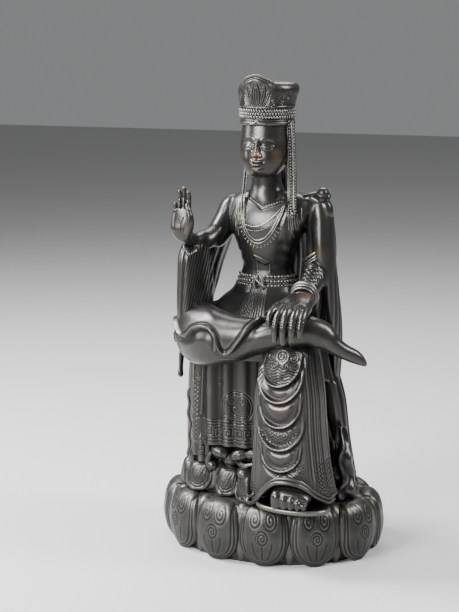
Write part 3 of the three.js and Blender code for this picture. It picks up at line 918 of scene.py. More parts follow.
@dataclass
class LotusPlinth(Part):
    """The oval lotus plinth: a ring of turned-down petals round a core with a flat underside.

    Attributes:
        half_width: Half the plinth's width.
        half_depth: Half its depth.
        height: Its height.
        petal_count: How many petals it has.
        thickness: A petal's thickness.
        gap: The gap between two petals.
        start: Where the first petal stands, as a share of the spacing.
        path: A petal's inset, height and share of its width, from its top down.
        insets: The core's inset and height, from its foot up.
    """

    half_width: float = 112.0
    half_depth: float = 87.0
    height: float = 56.0
    petal_count: int = 12
    thickness: float = 17.0
    gap: float = 2.0
    start: float = 0.43
    path: Stations = (
        (17, 0.9, 0.62), (4, 0.87, 0.88), (0, 0.56, 1), (0.8, 0.32, 0.92), (2.2, 0.15, 0.72),
        (4.2, 0.04, 0.34),
    )
    insets: Stations = ((15, 0), (13.5, 0.15), (10, 0.4), (10, 0.75), (12, 0.9), (17, 0.975), (24, 1))

    def edge(self, shares: Array) -> tuple[Array, Array, float]:
        """The plinth's outline at shares of its length.

        Args:
            shares: How far round, from the middle of the front.

        Returns:
            The places, the outward ways and the outline's length.
        """
        dense = np.linspace(-np.pi / 2, 1.5 * np.pi, 4001)
        x, y = self.half_width * np.cos(dense), self.half_depth * np.sin(dense)
        length = run(np.hypot(np.diff(x), np.diff(y)))
        angle = np.interp(shares * length[-1], length, dense)
        places = np.stack([self.half_width * np.cos(angle), self.half_depth * np.sin(angle)], -1)
        out = np.stack([self.half_depth * np.cos(angle), self.half_width * np.sin(angle)], -1)
        return places, unit(out), length[-1]

    def stood(self, shell: Shell) -> Shell:
        """A skin moved down from the plinth's own foot to the figure's zero."""
        shell.points[:, 2] -= self.shop.floor / self.shop.unit
        return shell

    def petal(self, place: Array, out: Array, half_width: float, proud: float = 0.0,
              small: bool = False) -> Shell:
        """One petal, with its outlines and whorls.

        Args:
            place: The middle of its edge, as (x, y).
            out: The outward way there.
            half_width: Half its width.
            proud: How far it stands inside the edge.
            small: Whether it is one of the plain petals between the others.

        Returns:
            The petal's skin, in figure units.
        """
        sideways = np.array([-out[1], out[0], 0.0])
        stations = []
        for i, (inset, height, share) in enumerate(self.path):
            depth = self.thickness / (4 if i == 0 else 2)
            x, y = place - out * (inset + proud + self.thickness / 2)
            stations.append((x, y, height * self.height, half_width * share, depth))

        def carve(degrees: Array, share: Array, places: Array) -> Array:
            """The petal's relief: a raised belly, two outlines, three whorls and their veins.

            Args:
                degrees: The corners' angles round the body.
                share: How far along the body each ring stands.
                places: The corners' places.

            Returns:
                What is added to the radius.
            """
            front = band(degrees, 8, 30, 150, 172)
            aside = (places[..., 0] - place[0]) * sideways[0] + (places[..., 1] - place[1]) * sideways[1]
            up = (1 - share) * 70 + 0 * aside
            rim = np.array([(-0.6, 63), (-0.82, 51), (-0.92, 38), (-0.84, 24), (-0.56, 11), (0, 5),
                            (0.56, 11), (0.84, 24), (0.92, 38), (0.82, 51), (0.6, 63)])
            lines = np.zeros_like(aside)
            for scale, lift in ((0.96, 2.0), (0.83, 5.0)):
                lines = np.maximum(lines, drawn(aside, up, rim * [half_width * scale, 1.0] + [0, lift], 0.7))
            marks = whorls(aside, up, [(-7.6, 52, 6.4, 1), (7.6, 52, 6.4, -1), (0, 40, 5.8, 1)], 2.4)
            for s in (-1, 0, 1):
                vein = [(s * 9, 36), (s * 7.4, 27), (s * 4.5, 17)]
                marks = np.maximum(marks, 0.6 * drawn(aside, up, vein, 0.6))
            swell = 2.2 * bump(up, 36, 22) * (1 - (aside / half_width) ** 2)
            return front * (swell - 0.8 * lines - 0.65 * marks)

        loft = Loft(stations, step=2.2 if small else 0.98, front=1 if small else 2.6, front_angle=90,
                    across=tuple(sideways), power=2.1, carve=None if small else carve)
        return self.stood(loft.build())

    def core(self) -> Shell:
        """The core between the petals, with a level top that the figure stands on.

        Returns:
            The core's skin.
        """
        rows, sides = 60, 240
        turn = np.linspace(0, 2 * np.pi, sides, endpoint=False)
        inset, height = traced(self.insets, rows).T[..., None]
        size = 1 - inset / self.half_width
        x, y = self.half_width * size * np.cos(turn), self.half_depth * size * np.sin(turn)
        z = np.minimum(height, 1) * self.height + 0 * turn
        return self.stood(skin_of(np.stack([x, y, z], axis=-1)))

    def build(self) -> None:
        """Makes the plinth's two pieces."""
        shares = (np.arange(self.petal_count) + self.start) / self.petal_count
        places, outs, length = self.edge(shares)
        half = (length / self.petal_count - self.gap) / 2
        petals = [self.petal(place, out, half) for place, out in zip(places, outs)]
        self.shop.finish("lotus_petals", petals, Bronze.PLINTH, node=PLINTH_NODE)
        between, ways, _ = self.edge(shares + 0.5 / self.petal_count)
        small = [self.petal(place, out, half * 0.36, 6.0, True) for place, out in zip(between, ways)]
        self.shop.finish("plinth_core", [self.core(), *small], Bronze.PLINTH, node=PLINTH_NODE)


@dataclass
class Robe(Part):
    """The robe below the lap: the seat's cloth, the front panel, its hems and the hanging left leg.

    Attributes:
        folds: The lowest point, half width and rise of each fold that hangs over the left leg.
        medallion: The middle (x, z) and radius of the medallion on the left knee.
        panel_medallion: The same for the one on the front panel.
        middle: The middle of the left leg's folds, across.
        leg_power: The squareness of the left leg's rings.
        seat: The stations of the cloth over the seat.
        panel: The stations of the front panel.
        leg: The stations of the left leg.
        hem: The line of the turned hem over the foot.
    """

    folds: Stations = ((127, 20, 22), (111.5, 22.5, 27), (87, 21, 24), (65, 22.5, 26), (43.5, 20, 19))
    medallion: Station = (44.5, 147, 19)
    panel_medallion: Station = (-17, 90, 16)
    middle: float = 41.0
    leg_power: float = 2.3
    seat: Stations = (
        (-13, -8, 0, 69, 40), (-13, -8, 8, 71, 42), (-13, -8, 22, 70, 41), (-13, -8, 70, 70, 40),
        (-14, -7, 130, 67, 38), (-13, -7, 150, 62, 36), (-11, -7, 162, 54, 31), (-10, -7, 168, 40, 20),
    )
    panel: Stations = (
        (-32, -39, 51, 37.5, 14), (-32, -39, 53, 38.6, 15.4), (-32, -39, 76, 38.5, 15.5),
        (-32, -39, 79, 37.8, 14.8), (-32, -37, 158, 34, 12),
    )
    leg: Stations = (
        (42, -50, 14, 42, 36), (42, -54, 20, 41, 34), (42, -58, 45, 37, 32), (42, -62, 80, 34, 31),
        (43, -66, 115, 32, 30), (44, -68, 140, 28, 28), (45, -67, 156, 24, 25), (46, -64, 166, 16, 18),
        (46, -62, 170, 8, 9),
    )
    hem: Stations = (
        (-3, -66, 12), (-2.4, -68, 6), (2, -71, 3), (8, -76, 4.4), (15, -82, 10.6), (22, -87.5, 18.6),
        (29, -90, 26.2), (36, -91.4, 31.2), (44, -92, 33.4), (53, -91, 33.4), (61, -88.8, 31.2),
        (68, -85, 26.4), (73.4, -80.5, 20.5), (78, -74.4, 15.5), (82, -65.5, 11.5), (85, -56, 13),
    )

    def seat_cloth(self) -> None:
        """Makes the cloth over the seat, in pleats that gather at its top."""

        def carve(degrees: Array, share: Array, places: Array) -> Array:
            """The cloth's pleats and its waved hem.

            Args:
                degrees: The corners' angles round the body.
                share: How far along the body each ring stands.
                places: The corners' places.

            Returns:
                What is added to the radius.
            """
            turn = np.radians(degrees)
            pleats = np.cos(17 * turn + 0.6 * np.sin(3 * turn)) + 0.35 * np.cos(41 * turn)
            hem = 2.2 * bump(share, 0.03, 0.06) * np.cos(9 * turn)
            x, z = places[..., 0], places[..., 2]
            recess = band(x, -52, -46, -4, 2) * band(z, 24, 34, 54, 62) * (degrees < 0)
            return 1.5 * (1 - 0.35 * share) * pleats + hem - 9 * recess

        loft = Loft(self.seat, step=1.25, level=True, power=3, carve=carve)
        self.shop.finish("seat_cloth", [loft.build()], Bronze.ROBE)

    def front_panel(self) -> None:
        """Makes the front panel: folds, a medallion, a key border and a lace strip."""
        mx, mz, radius = self.panel_medallion

        def carve(degrees: Array, share: Array, places: Array) -> Array:
            """The panel's relief.

            Args:
                degrees: The corners' angles round the body.
                share: How far along the body each ring stands.
                places: The corners' places.

            Returns:
                What is added to the radius.
            """
            x, z = places[..., 0], places[..., 2]
            front = band(degrees, -180, -160, -20, 0)
            folds = np.cos(2 * np.pi * (x + 45 + 0.03 * (z - 90)) / 17)
            folds = folds * (1.045 + 0.855 * smooth(-10, -25, x))
            reach = np.hypot(x - mx, z - mz)
            inside = 1 - smooth(radius - 1, radius, reach)
            rings = np.maximum(bump(reach, radius, 0.5), bump(reach, radius - 2.4, 0.4))
            clouds = whorls(x - mx, z - mz, [(-6, 6, 4.6, 1), (4, 7, 4.4, -1), (-2, -1.5, 4.4, 1)], 2)
            swell = (0.5 + 0.5 * np.cos(2 * np.pi * (z - mz + np.sin(x / 1.6)) / 2.2)) ** 2
            sea = inside * swell * smooth(-4, -7, z - mz)
            key = band(z, 59, 60, 69.5, 70.5) * smooth(-52, -51, x) * fret(x, z, 8.2, 60.6)
            rails = sum(bump(z, level, 0.45) for level in (55, 58, 71.5, 74.5)) * smooth(-54, -52, x)
            net = smooth(-57, -60, x) * band(z, 52, 56, 108, 116) * lattice(x, z, 4.4)
            wisps = whorls(x, z, [(-60, 118, 3.6, 1), (-34, 114, 3.6, -1)], 1.8)
            engraved = 0.6 * np.clip(rings + rails + key + net + sea, 0, 1)
            engraved += 0.5 * np.maximum(clouds * inside, wisps)
            return front * (folds + 1.2 * bump(x, -55.5, 1.0) * (z > 80) - engraved)

        def strip(degrees: Array, share: Array, places: Array) -> Array:
            """The key pattern on the border's hanging corner."""
            x, z = places[..., 0], places[..., 2]
            return -0.6 * fret(z, x, 8.2, -60) * (degrees < 0) + 0.8 * np.cos(2 * np.pi * (x + 56) / 9)

        loft = Loft(self.panel, step=0.62, front=2.6, level=True, power=3.2, carve=carve)
        corner = Loft([(-57, -43, 37, 6, 7), (-57, -43, 39, 9, 9), (-57, -42, 58, 10, 11),
                       (-57, -41, 62, 9, 9)],
                      step=0.62, front=2.0, level=True, power=2.8, carve=strip)
        ruffle = [(0.9 * math.sin(z / 3.3) + 0.7 * math.sin(z / 7.9) - 71, -46.6, z)
                  for z in range(34, 106, 2)]
        self.shop.finish("front_panel", [loft.build(), corner.build(), cord(ruffle, 1.5)], Bronze.ROBE)

    def lobe(self, x: float, y: float, half_width: float, half_depth: float, low: float,
             high: float) -> Shell:
        """One hanging lobe of a ruffled hem, with soft flutes.

        Args:
            x: Its middle across.
            y: Its middle in depth.
            half_width: Half its width.
            half_depth: Half its depth.
            low: The height of its lowest point.
            high: The height where it is gathered.

        Returns:
            The lobe's skin.
        """
        profile = ((0, 0.5, 0.5), (0.03, 0.78, 0.84), (0.1, 0.95, 1), (0.34, 1, 0.95), (0.62, 0.88, 0.85),
                   (0.84, 0.74, 0.68), (0.96, 0.5, 0.36), (1, 0.2, 0.12))
        stations = [(x, y, low + up * (high - low), half_width * wide, half_depth * deep)
                    for up, wide, deep in profile]

        def carve(degrees: Array, share: Array, places: Array) -> Array:
            """Soft flutes that open downward."""
            return np.cos(6 * np.radians(degrees + 90) + 0.4 * x) * smooth(1, 0.2, share)

        return Loft(stations, step=1.0, level=True, power=3.0, carve=carve).build()

    def ruffles(self) -> None:
        """Makes the ruffled hems that stand on the plinth, with the gathered cloth above them."""
        lobes = [(-60, -40, 14.5, 13, 1, 31), (-28, -43, 14.5, 14.6, 0.3, 30), (-4, -57, 10.4, 13, 0.6, 31),
                 (-76, -28, 10, 12, 2, 30), (-45, -40, 10, 10, 3, 27)]
        gathers = [
            (3.6, [(-44, -47, 44), (-49, -48, 37), (-49, -48, 28), (-47, -47, 22)]),
            (2.8, [(-20, -49, 36), (-12, -53, 33.4), (-4, -54, 34), (5, -53, 38)]),
            (3.2, [(-66, -42, 44), (-69, -43, 36), (-68, -43, 27)]),
        ]
        lumps = [
            ((-36, -49, 43), (11, 8, 7), 0.3), ((-15, -50, 42), (11, 8, 7), -0.26),
            ((-1, -52, 45), (8, 5.5, 5.5), -0.3), ((-6, -59, 26.6), (8.6, 9, 6), 0.2),
            ((-25.5, -47, 36), (9, 7, 7), 0), ((-46, -47, 27.5), (7, 6, 6), 0.4),
        ]

        def cascade(degrees: Array, share: Array, places: Array) -> Array:
            """The folds of the edge that falls beside the leg, laid from side to side."""
            turn, z = np.radians(degrees), places[..., 2]
            return 1.9 * np.cos(5 * turn + 1.7 * np.sin(z / 5.2)) + 1.1 * np.sin(z / 5.2 + 2 * turn)

        shells = [self.lobe(*lobe) for lobe in lobes]
        shells += [cord(line, radius, sides=16, taper=0.4) for radius, line in gathers]
        shells += [bead(*lump) for lump in lumps]
        shells.append(Loft([(80, -15, 0.6, 7, 9), (80, -15, 3, 10.5, 13), (80, -16, 20, 10, 13),
                            (79, -15, 40, 8, 11.6), (77, -12, 56, 6, 9), (75, -6, 70, 2.5, 4)],
                           level=True, carve=cascade).build())

        def relief(points: Array, normals: Array) -> Array:
            """Each lobe's turned edge, the border lines inside it and its fine ground.

            Args:
                points: The skin's places.
                normals: The outward ways.

            Returns:
                What is added to the places, along the normals.
            """
            px, py, pz = points.T
            total = np.zeros(len(points))
            for x, y, half_width, _, low, high in lobes[:3]:
                across, up = (px - x) / half_width, (pz - low) / (high - low)
                reach = np.hypot(across, np.minimum(up - 0.6, 0) / 0.6)
                here = (normals[:, 1] < -0.1) * (py < y) * (reach < 1.05) * (up > -0.05) * (up < 0.8)
                lines = bump(reach, 0.74, 0.045) + bump(reach, 0.6, 0.045)
                ground = 0.35 * lattice(px + 0.5 * pz, pz, 3.6) * smooth(0.54, 0.48, reach)
                lines = np.maximum(lines * smooth(0.8, 0.6, up), ground)
                total += here * (bump(reach, 0.93, 0.08) - 0.55 * lines)
            return total

        mesh = self.shop.fused("ruffled_hems", shells, 0.72, 4)
        self.shop.finish("ruffled_hems", mesh, Bronze.ROBE, relief=relief, limit=58_000)

    def arc(self, low: float, half_width: float, rise: float, shift: float = 0.0) -> Array:
        """The line of one hanging fold as (x, z), moved down by shift, with its upper ends."""
        line = swag(self.middle, low - shift, half_width, rise)
        return np.array([line[0] + (-1.2, 13), *line, line[-1] + (1.2, 13)])

    def left_leg(self) -> None:
        """Makes the hanging left leg: hanging folds, side pleats, scales and the knee's medallion."""
        mx, mz, radius = self.medallion

        def carve(degrees: Array, share: Array, places: Array) -> Array:
            """The leg's relief.

            Args:
                degrees: The corners' angles round the body.
                share: How far along the body each ring stands.
                places: The corners' places.

            Returns:
                What is added to the radius.
            """
            x, z = places[..., 0], places[..., 2]
            turn = np.abs((degrees + 270) % 360 - 180) + 0 * z
            front = 1 - smooth(75, 100, turn)
            total = np.zeros_like(z)
            for number, (low, half_width, rise) in enumerate(self.folds):
                fade = 1 - smooth(low + 0.85 * rise, low + rise + 13, z)
                thin = (0.8, 1.0, 0.9, 1.1, 0.6)[number]
                ridge = drawn(x, z, self.arc(low, half_width, rise), 1.6 * thin)
                hollow = drawn(x, z, self.arc(low, half_width, rise, 4.4), 2.6)
                above = drawn(x, z, self.arc(low, half_width - 5, rise, -5.0), 3.2)
                total += fade * (3.3 * thin * ridge - 1.9 * hollow - 1.3 * above)
            aside = smooth(38, 48, turn) * band(z, 10, 40, 146, 162)
            pleats = 0.35 * np.cos(np.radians(turn * 58)) + 0.5 * np.cos(np.radians(turn * 21 + 40))
            total += aside * pleats
            near = np.abs(x - self.middle)
            between = (1 - smooth(17, 20, near)) * band(z, 67, 70, 81, 84)
            lower = band(x - self.middle, 2, 6, 22, 26) * band(z, 42, 44, 52, 54)
            total -= 0.85 * (between + lower) * scales(x, z, 2.9)
            reach = np.hypot(x - mx, z - mz)
            inside = 1 - smooth(radius - 1.4, radius - 0.6, reach)
            rings = bump(reach, radius + 0.6, 0.8) + bump(reach, radius - 1.6, 0.5)
            clouds = whorls(x - mx, z - mz, [(-11, 7.5, 4.8, 1), (0, 8, 5, -1), (11, 6.5, 4.8, 1),
                                             (-5.5, -0.5, 4, -1), (6, -0.5, 3.8, 1)], 2.1)
            waved = z - mz + 0.9 * np.sin((x - mx) / 1.7)
            sea = (0.5 + 0.5 * np.cos(2 * np.pi * waved / 2.7)) ** 2 * (1 - smooth(-4, -1, z - mz))
            total += front * (1.1 * inside - 0.6 * rings - 0.8 * inside * np.maximum(clouds, sea))
            line = np.asarray(self.hem, float)[4:, [0, 2]]
            over = z - np.interp(x, line[:, 0], line[:, 1])
            beside = np.abs(x - 46)
            border = np.cos((over + 0.25 * beside) * 2 * np.pi / 2.5)
            border = border * band(over, 2, 4, 6 + 0.12 * beside, 9 + 0.22 * beside)
            under = smooth(-0.4, -2.2, over) * band(x, 11, 15, 74, 78)
            lace = smooth(72, 75, x) * band(z, 12, 16, 50, 56) * lattice(degrees * 0.6, z, 4.6)
            return total + front * (0.45 * border - 13 * under) - 0.7 * lace

        loft = Loft(self.leg, step=0.66, front=2.2, level=True, power=self.leg_power, carve=carve)
        self.shop.finish("left_leg_robe", [loft.build()], Bronze.ROBE)

    def hem_roll(self) -> None:
        """Makes the turned hem that arches over the foot, and the curl at its left end."""
        lip = cord(self.hem, 2.1, sides=22, step=0.6, taper=0.1)
        inner = cord([(x, y + 1.6, z + 3.4) for x, y, z in self.hem[3:]], 1.7, sides=16, step=0.7, taper=0.2)
        curl = [(-3, -66, 12), (0, -68.5, 9), (5, -72.5, 9.5), (11, -78, 15)]
        self.shop.finish("hem_roll", [lip, inner, cord(curl, 1.5, sides=14, step=0.7)], Bronze.ROBE)

    def build(self) -> None:
        """Makes all the robe's pieces."""
        self.seat_cloth()
        self.front_panel()
        self.ruffles()
        self.left_leg()
        self.hem_roll()


@dataclass
class LeftFoot(Part):
    """The left foot on its small rest, which stands out over the front of the plinth.

    Attributes:
        voxel: How fine its skin is.
        rest: The stations of the rest.
        sole: The stations of the foot without its toes.
        toes: Each toe's place across, half width, reach and top.
    """

    voxel: float = 0.5
    rest: Stations = (
        (50, -74, 1.5, 26, 12), (50, -75, 2.4, 31, 16), (50, -76, 4.4, 35.4, 20),
        (50, -76, 6.8, 36.8, 21.4), (50, -76, 8.4, 36.4, 21), (50, -75.8, 9, 35.2, 19.8),
        (50, -75.5, 8.4, 33.4, 18), (50, -75, 8, 30, 15),
    )
    sole: Stations = (
        (46, -52, 26, 18, 12), (48, -62, 26, 19, 11.6), (51, -74, 24, 20, 10), (52.6, -85, 21.4, 19, 7),
        (53.2, -91, 19.6, 17.6, 5.6), (53.4, -93.4, 18.6, 16, 3.2),
    )
    toes: Stations = (
        (39.6, 5.2, 3.2, 25.4), (47.6, 3.7, 3.4, 23), (54.4, 3.5, 3, 21.6), (60.8, 3.3, 2, 20.2),
        (66.6, 3, 0.6, 18.6),
    )

    def build(self) -> None:
        """Makes the rest and the foot."""
        rest = Loft(self.rest, step=0.8, level=True, power=2.1)
        self.shop.finish("foot_rest", [rest.build()], Bronze.TRIM)
        parts = [Loft(self.sole, across=(1, 0, -0.16)).build()]
        for x, girth, reach, top in self.toes:
            y = -91.4 - reach
            parts.append(Loft([
                (x, y + 10, top - 3, girth, 4), (x, y + 4, top - 3, girth, 4),
                (x, y + 1, top - 4.4, girth, 3.8), (x, y, (top + 11) / 2, girth, 3.7),
                (x, y, 12, girth * 0.96, 3.5),
                (x, y + 0.6, 9.8, girth * 0.8, 2.8), (x, y + 1.2, 8.8, girth * 0.4, 1.2),
            ], step=0.6).build())
        mesh = self.shop.fused("left_foot", parts, self.voxel, 12)
        self.shop.finish("left_foot", mesh, Bronze.SKIN, soft=0.8)


@dataclass
class Lap(Part):
    """The lap under the skirt and the right leg folded across it, with the robe's waved hem.

    Attributes:
        voxel: How fine the skin is.
        sash_width: Half the sash's width at the belt.
        mound: The stations of the lap.
        shin: The stations of the folded leg, from the knee to its toes.
        thigh: The stations of its thigh.
        hem: The waved hem's line on the folded leg, as (x, z).
        turn_back: The line of the hem's turned edge at the knee, as (x, z).
    """

    voxel: float = 0.85
    sash_width: float = 8.0
    mound: Stations = (
        (-10, -22, 138, 56, 36), (-9, -28, 160, 60, 42), (-8, -25, 178, 54, 40), (-7, -19, 190, 43, 33),
        (-5, -8, 200, 35, 27), (-5, -4, 208, 31, 24),
    )
    shin: Stations = (
        (-73, -45, 166, 16, 13), (-66, -50, 164, 26, 21), (-53, -61, 163.4, 30, 24),
        (-33, -73, 163.6, 28.6, 24), (-9, -80, 165, 23, 21), (18, -82, 170, 17.5, 18),
        (46, -78, 175, 16, 16), (62, -74, 177, 14.5, 14.5), (74, -71, 173, 13.8, 12.5),
        (79.5, -69.8, 170, 12, 11.6), (85, -68, 164.8, 9, 9.8), (94, -64, 158.2, 7.4, 7.8),
        (104, -59.4, 152.8, 6.6, 6.4), (110, -57, 148.2, 4.4, 4.6), (114, -55.4, 144.4, 1.8, 2.2),
    )
    thigh: Stations = (
        (-18, -10, 168, 24, 26), (-38, -27, 166, 25, 27), (-62, -46, 162, 21, 23), (-70, -52, 160, 10, 12),
    )
    hem: Stations = (
        (-83, 186), (-77.5, 179), (-71, 171), (-65, 166), (-59, 164.8), (-53, 168), (-47, 173.6),
        (-38, 176.6), (-31, 176.4), (-25, 174), (-20.5, 169), (-18, 161.5), (-15, 156), (-10, 153.6),
        (-4, 157), (2, 164), (7, 171), (13, 181), (22, 189.6), (29.7, 192.8), (38, 194.4), (48, 195.5),
    )
    turn_back: Stations = ((-25, 172.5), (-22.4, 166), (-21.8, 160), (-22, 155))

    def relief(self, points: Array, normals: Array) -> Array:
        """The waved hem, the cloth under it, the creases and patterned patch at the knee, and the sole.

        Args:
            points: The skin's places.
            normals: The outward ways.

        Returns:
            What is added along the normals.
        """
        x, y, z = points.T
        line = traced(self.hem, 400)
        facing = smooth(0.15, -0.15, normals[:, 1]) * (y < -40)
        on_leg = facing * (x < 50)
        below = z - np.interp(x, line[:, 0], line[:, 1])
        reach = np.full(len(points), FAR)
        near = (on_leg > 0) & (np.abs(below) < 30)
        reach[near] = line_distance(points[near][:, [0, 2]], line)
        under = (below < 0) & (x > -80)
        fade = smooth(134, 150, z)
        sunk = -2.0 * under * smooth(0, 1.5, reach) * fade
        roll = 2.5 * bump(reach, 0, 1.55)
        shadow = -1.7 * under * smooth(13, 3, reach) * smooth(1.4, 2.8, reach) * fade
        crease = -0.9 * (~under) * bump(reach, 3.6, 0.8)
        back = drawn(x, z, self.turn_back, 1.5) * on_leg
        total = on_leg * (sunk + roll + shadow + crease) + 1.5 * back
        patch = (1 - smooth(-69, -64, x)) * band(z, 139, 144, 168, 174)
        total -= 0.5 * patch * lattice(z * 0.8, y, 4.6)
        creases = np.cos((x * 0.42 + y * 0.25) * 0.55) * band(z, 178, 186, 203, 207)
        total += 0.4 * creases * smooth(-14, -28, x)
        sole = smooth(84, 92, x) * bump(normals[:, 2], -0.1, 0.3)
        return total - 0.3 * sole

    def sash(self, mesh: bpy.types.Mesh) -> None:
        """Lays the pleated sash over the lap, from the belt towards the shin.

        Args:
            mesh: The lap's skin, which it lies on.
        """
        points = self.shop.places(mesh)
        up = self.shop.normals(mesh)[:, 2] > 0.2
        ground = points[up & (points[:, 2] > 176) & (np.abs(points[:, 0]) < 30) & (points[:, 1] < -20)]
        along, aside = np.meshgrid(np.linspace(0, 1, 16), np.linspace(1, -1, 16), indexing="ij")

        def spread(along: Array, aside: Array) -> tuple[Array, Array]:
            """Where the sash lies in plan."""
            return 4 * along - 4 + aside * (self.sash_width + 7 * along), -27 - 39 * along

        x, y = spread(along, aside)
        weight = np.exp(-((x[..., None] - ground[:, 0]) ** 2 + (y[..., None] - ground[:, 1]) ** 2) / 3)
        z = (weight * ground[:, 2]).sum(-1) / weight.sum(-1)
        rows, columns = np.linspace(0, 1, 110), np.linspace(0, 1, 120)
        z = spline(spline(z, rows).T, columns).T
        along, aside = np.meshgrid(rows, 1 - 2 * columns, indexing="ij")
        x, y = spread(along, aside)
        pleats = np.cos(2 * np.pi * aside * 5.5) * (0.25 + 0.75 * smooth(-0.15, 0.05, aside))
        diamonds = lattice(aside * 9, along * 26, 2.2) * smooth(0, -0.15, aside) * (aside > -0.85)
        edge = bump(np.abs(aside), 0.93, 0.05)
        z = z - 2.6 * smooth(0.86, 1, along)
        top = np.stack([x, y, z + 1.2 + 0.24 * pleats - 0.26 * diamonds + 0.25 * edge], axis=-1)
        under = np.stack([x, y, z - 1.5], axis=-1)
        self.shop.finish("sash", [skin_of(np.concatenate([top, under[:, ::-6]], axis=1))], Bronze.ROBE)

    def build(self) -> None:
        """Makes the lap with the folded leg."""
        shells = [
            Loft(self.mound, step=1.4, level=True, power=2.2).build(),
            Loft(self.shin, step=1.2, across=(0, 0, 1)).build(),
            Loft(self.thigh, step=1.4).build(),
        ]
        mesh = self.shop.fused("lap", shells, self.voxel, 9)
        self.sash(mesh)
        self.shop.finish("lap_and_folded_leg", mesh, Bronze.ROBE, relief=self.relief, limit=92_000)


@dataclass
class UpperBody(Part):
    """Torso, neck, the left sleeve with the fold beside it, and the right arm, cast as one.

    Attributes:
        voxel: How fine the skin is.
        torso: The stations of the torso.
        neck: The stations of the neck.
        sleeve: The stations of the left sleeve, from the shoulder to the wrist.
        forearm: The stations of the right arm.
        arm_fold: The stations of the mantle's fold that hangs over the left arm.
        rings: The middle, half width and depth, radius and slant of each cuff and bangle.
    """

    voxel: float = 0.78
    torso: Stations = (
        (-4, -2, 192, 36, 28), (-5, -2, 201, 32, 26), (-5, -2, 218, 26.5, 21.5), (-5, -2, 226, 25.5, 21),
        (-5, -3, 244, 30, 24), (-4, -3, 262, 38, 27), (-2, -2, 276, 43, 25), (-1, 0, 287, 44, 21),
        (-2, 0, 293, 37, 17), (-4, -1, 298, 22, 15),
    )
    neck: Stations = (
        (-5, -3, 285, 23, 20), (-5.2, -3.8, 293.4, 19.4, 18.4), (-5.6, -4.8, 302, 15.8, 14.8),
        (-6, -6, 312, 14.4, 14), (-6, -6, 324, 15, 15),
    )
    sleeve: Stations = (
        (33, 2, 285, 9, 12), (38, 2, 283.5, 11, 13), (43, 3, 278, 12, 13), (44, 4, 262, 12, 13),
        (45, 3, 246, 12, 13), (46, -1, 231, 12.5, 13), (47, -12, 219, 12, 12), (48, -28, 210, 10.5, 11),
        (48, -44, 204, 9, 9), (49, -56, 202, 8.5, 7),
    )
    forearm: Stations = (
        (-34, 1, 283, 11, 12), (-43, -2, 279, 12, 12.5), (-47, -9, 266, 12, 12.5),
        (-52, -20, 254, 11.5, 12), (-57, -36, 251, 9.5, 10), (-60.5, -54, 252, 7.5, 7.5),
        (-62.5, -67, 257, 6.6, 6.4), (-63, -72, 262, 6.4, 5.4),
    )
    arm_fold: Stations = (
        (60, 20, 104, 1.6, 4), (60.6, 18, 122, 3.4, 8), (61, 14.5, 148, 4.8, 11), (60.6, 9, 172, 5.6, 13),
        (59, 4, 196, 6.4, 14), (56, -0.4, 220, 8.4, 14.4), (53, -2, 242, 10.2, 15),
        (51.4, -1, 262, 10.6, 14), (49.6, 0, 278, 10.4, 12.6), (47, 1, 290, 9, 9),
    )
    rings: Stations = (
        (45.2, 0, 238.4, 14.4, 14.2, 1.5, True), (45.4, -0.8, 234.6, 14.4, 14.6, 1, True),
        (45.6, -1.8, 232, 14.4, 15, 0.8, True), (48, -38.6, 206.6, 11, 11, 1.3, False),
        (48, -43, 205.4, 12.4, 11.8, 1.9, False), (48.2, -46.8, 204.4, 11.6, 10.6, 1.2, False),
        (48.4, -50.6, 203.4, 10.6, 9.4, 1.1, False),
    )

    def relief(self, points: Array, normals: Array) -> Array:
        """The collar and tie, the fine folds of the bodice and arms, and the lace on the left forearm.

        Args:
            points: The skin's places.
            normals: The outward ways.

        Returns:
            What is added along the normals.
        """
        x, y, z = points.T
        chest = smooth(0.05, -0.25, normals[:, 1]) * (np.abs(x + 4) < 34) * (y < 0)
        collar = np.array([(-19, 293), (-3, 284.5), (15, 292)])
        marks = np.maximum(marked(x, z, collar, 0.6), marked(x, z, collar - (0, 3.2), 0.6))
        teeth = 0.5 + 0.5 * np.cos(2 * np.pi * x / 2.4)
        marks = np.maximum(marks, 0.6 * teeth * marked(x, z, collar - (0, 1.6), 1.2))
        tie = [[(-11, 236.5), (-4, 233.5), (3, 230.5)], [(-9.5, 233.5), (-3.5, 230.8), (1, 229)]]
        raised = sum(drawn(x, z, line, 0.9) for line in tie)
        for line in ([(4, 231), (4.6, 226), (4.4, 220)], [(-8, 231), (-8.6, 226), (-8.4, 220)]):
            raised = raised + 0.6 * drawn(x, z, line, 0.6)
        off = np.abs(x + 4)
        folds = 0.35 * np.cos((z + 0.35 * off) / 1.9) * bump(off, 24, 7) * bump(z, 236, 14)
        rays = band(np.abs(x + 3), 14, 20, 30, 36) * band(z, 246, 256, 278, 286)
        rays = rays * np.cos((x - 0.25 * z) / 1.25)
        total = chest * (0.8 * raised - 0.75 * marks + folds + 0.45 * rays)
        pleats = np.cos(y * 0.95 + 0.35 * np.sin(z / 17) + (z - 220) * 0.07) * (x > 54)
        total += 0.6 * pleats * smooth(0.35, 0.8, normals[:, 0]) * smooth(236, 206, z) * smooth(-24, -16, y)
        lace = (x > 34) * (x < 58) * band(y, -52, -46, -20, -14) * (z < 228)
        cells = np.maximum(lattice(x, y, 4.6), 0.8 * (0.5 + 0.5 * np.cos(2 * np.pi * y / 5.5)) ** 4)
        total -= 0.55 * lace * cells * (normals[:, 2] > -0.2)
        upper = (x > 32) * (x < 52) * band(z, 238, 244, 270, 280)
        total += 0.35 * upper * np.cos((z + x * 0.6) / 4.2) * smooth(0.0, 0.6, np.abs(normals[:, 0]))
        hanging = (x < -40) * (y > -60) * smooth(-40, -44, x)
        total += 0.5 * hanging * np.cos((x * 0.5 + y * 0.5 - z * 0.4) / 1.9) * (y < 0)
        return total

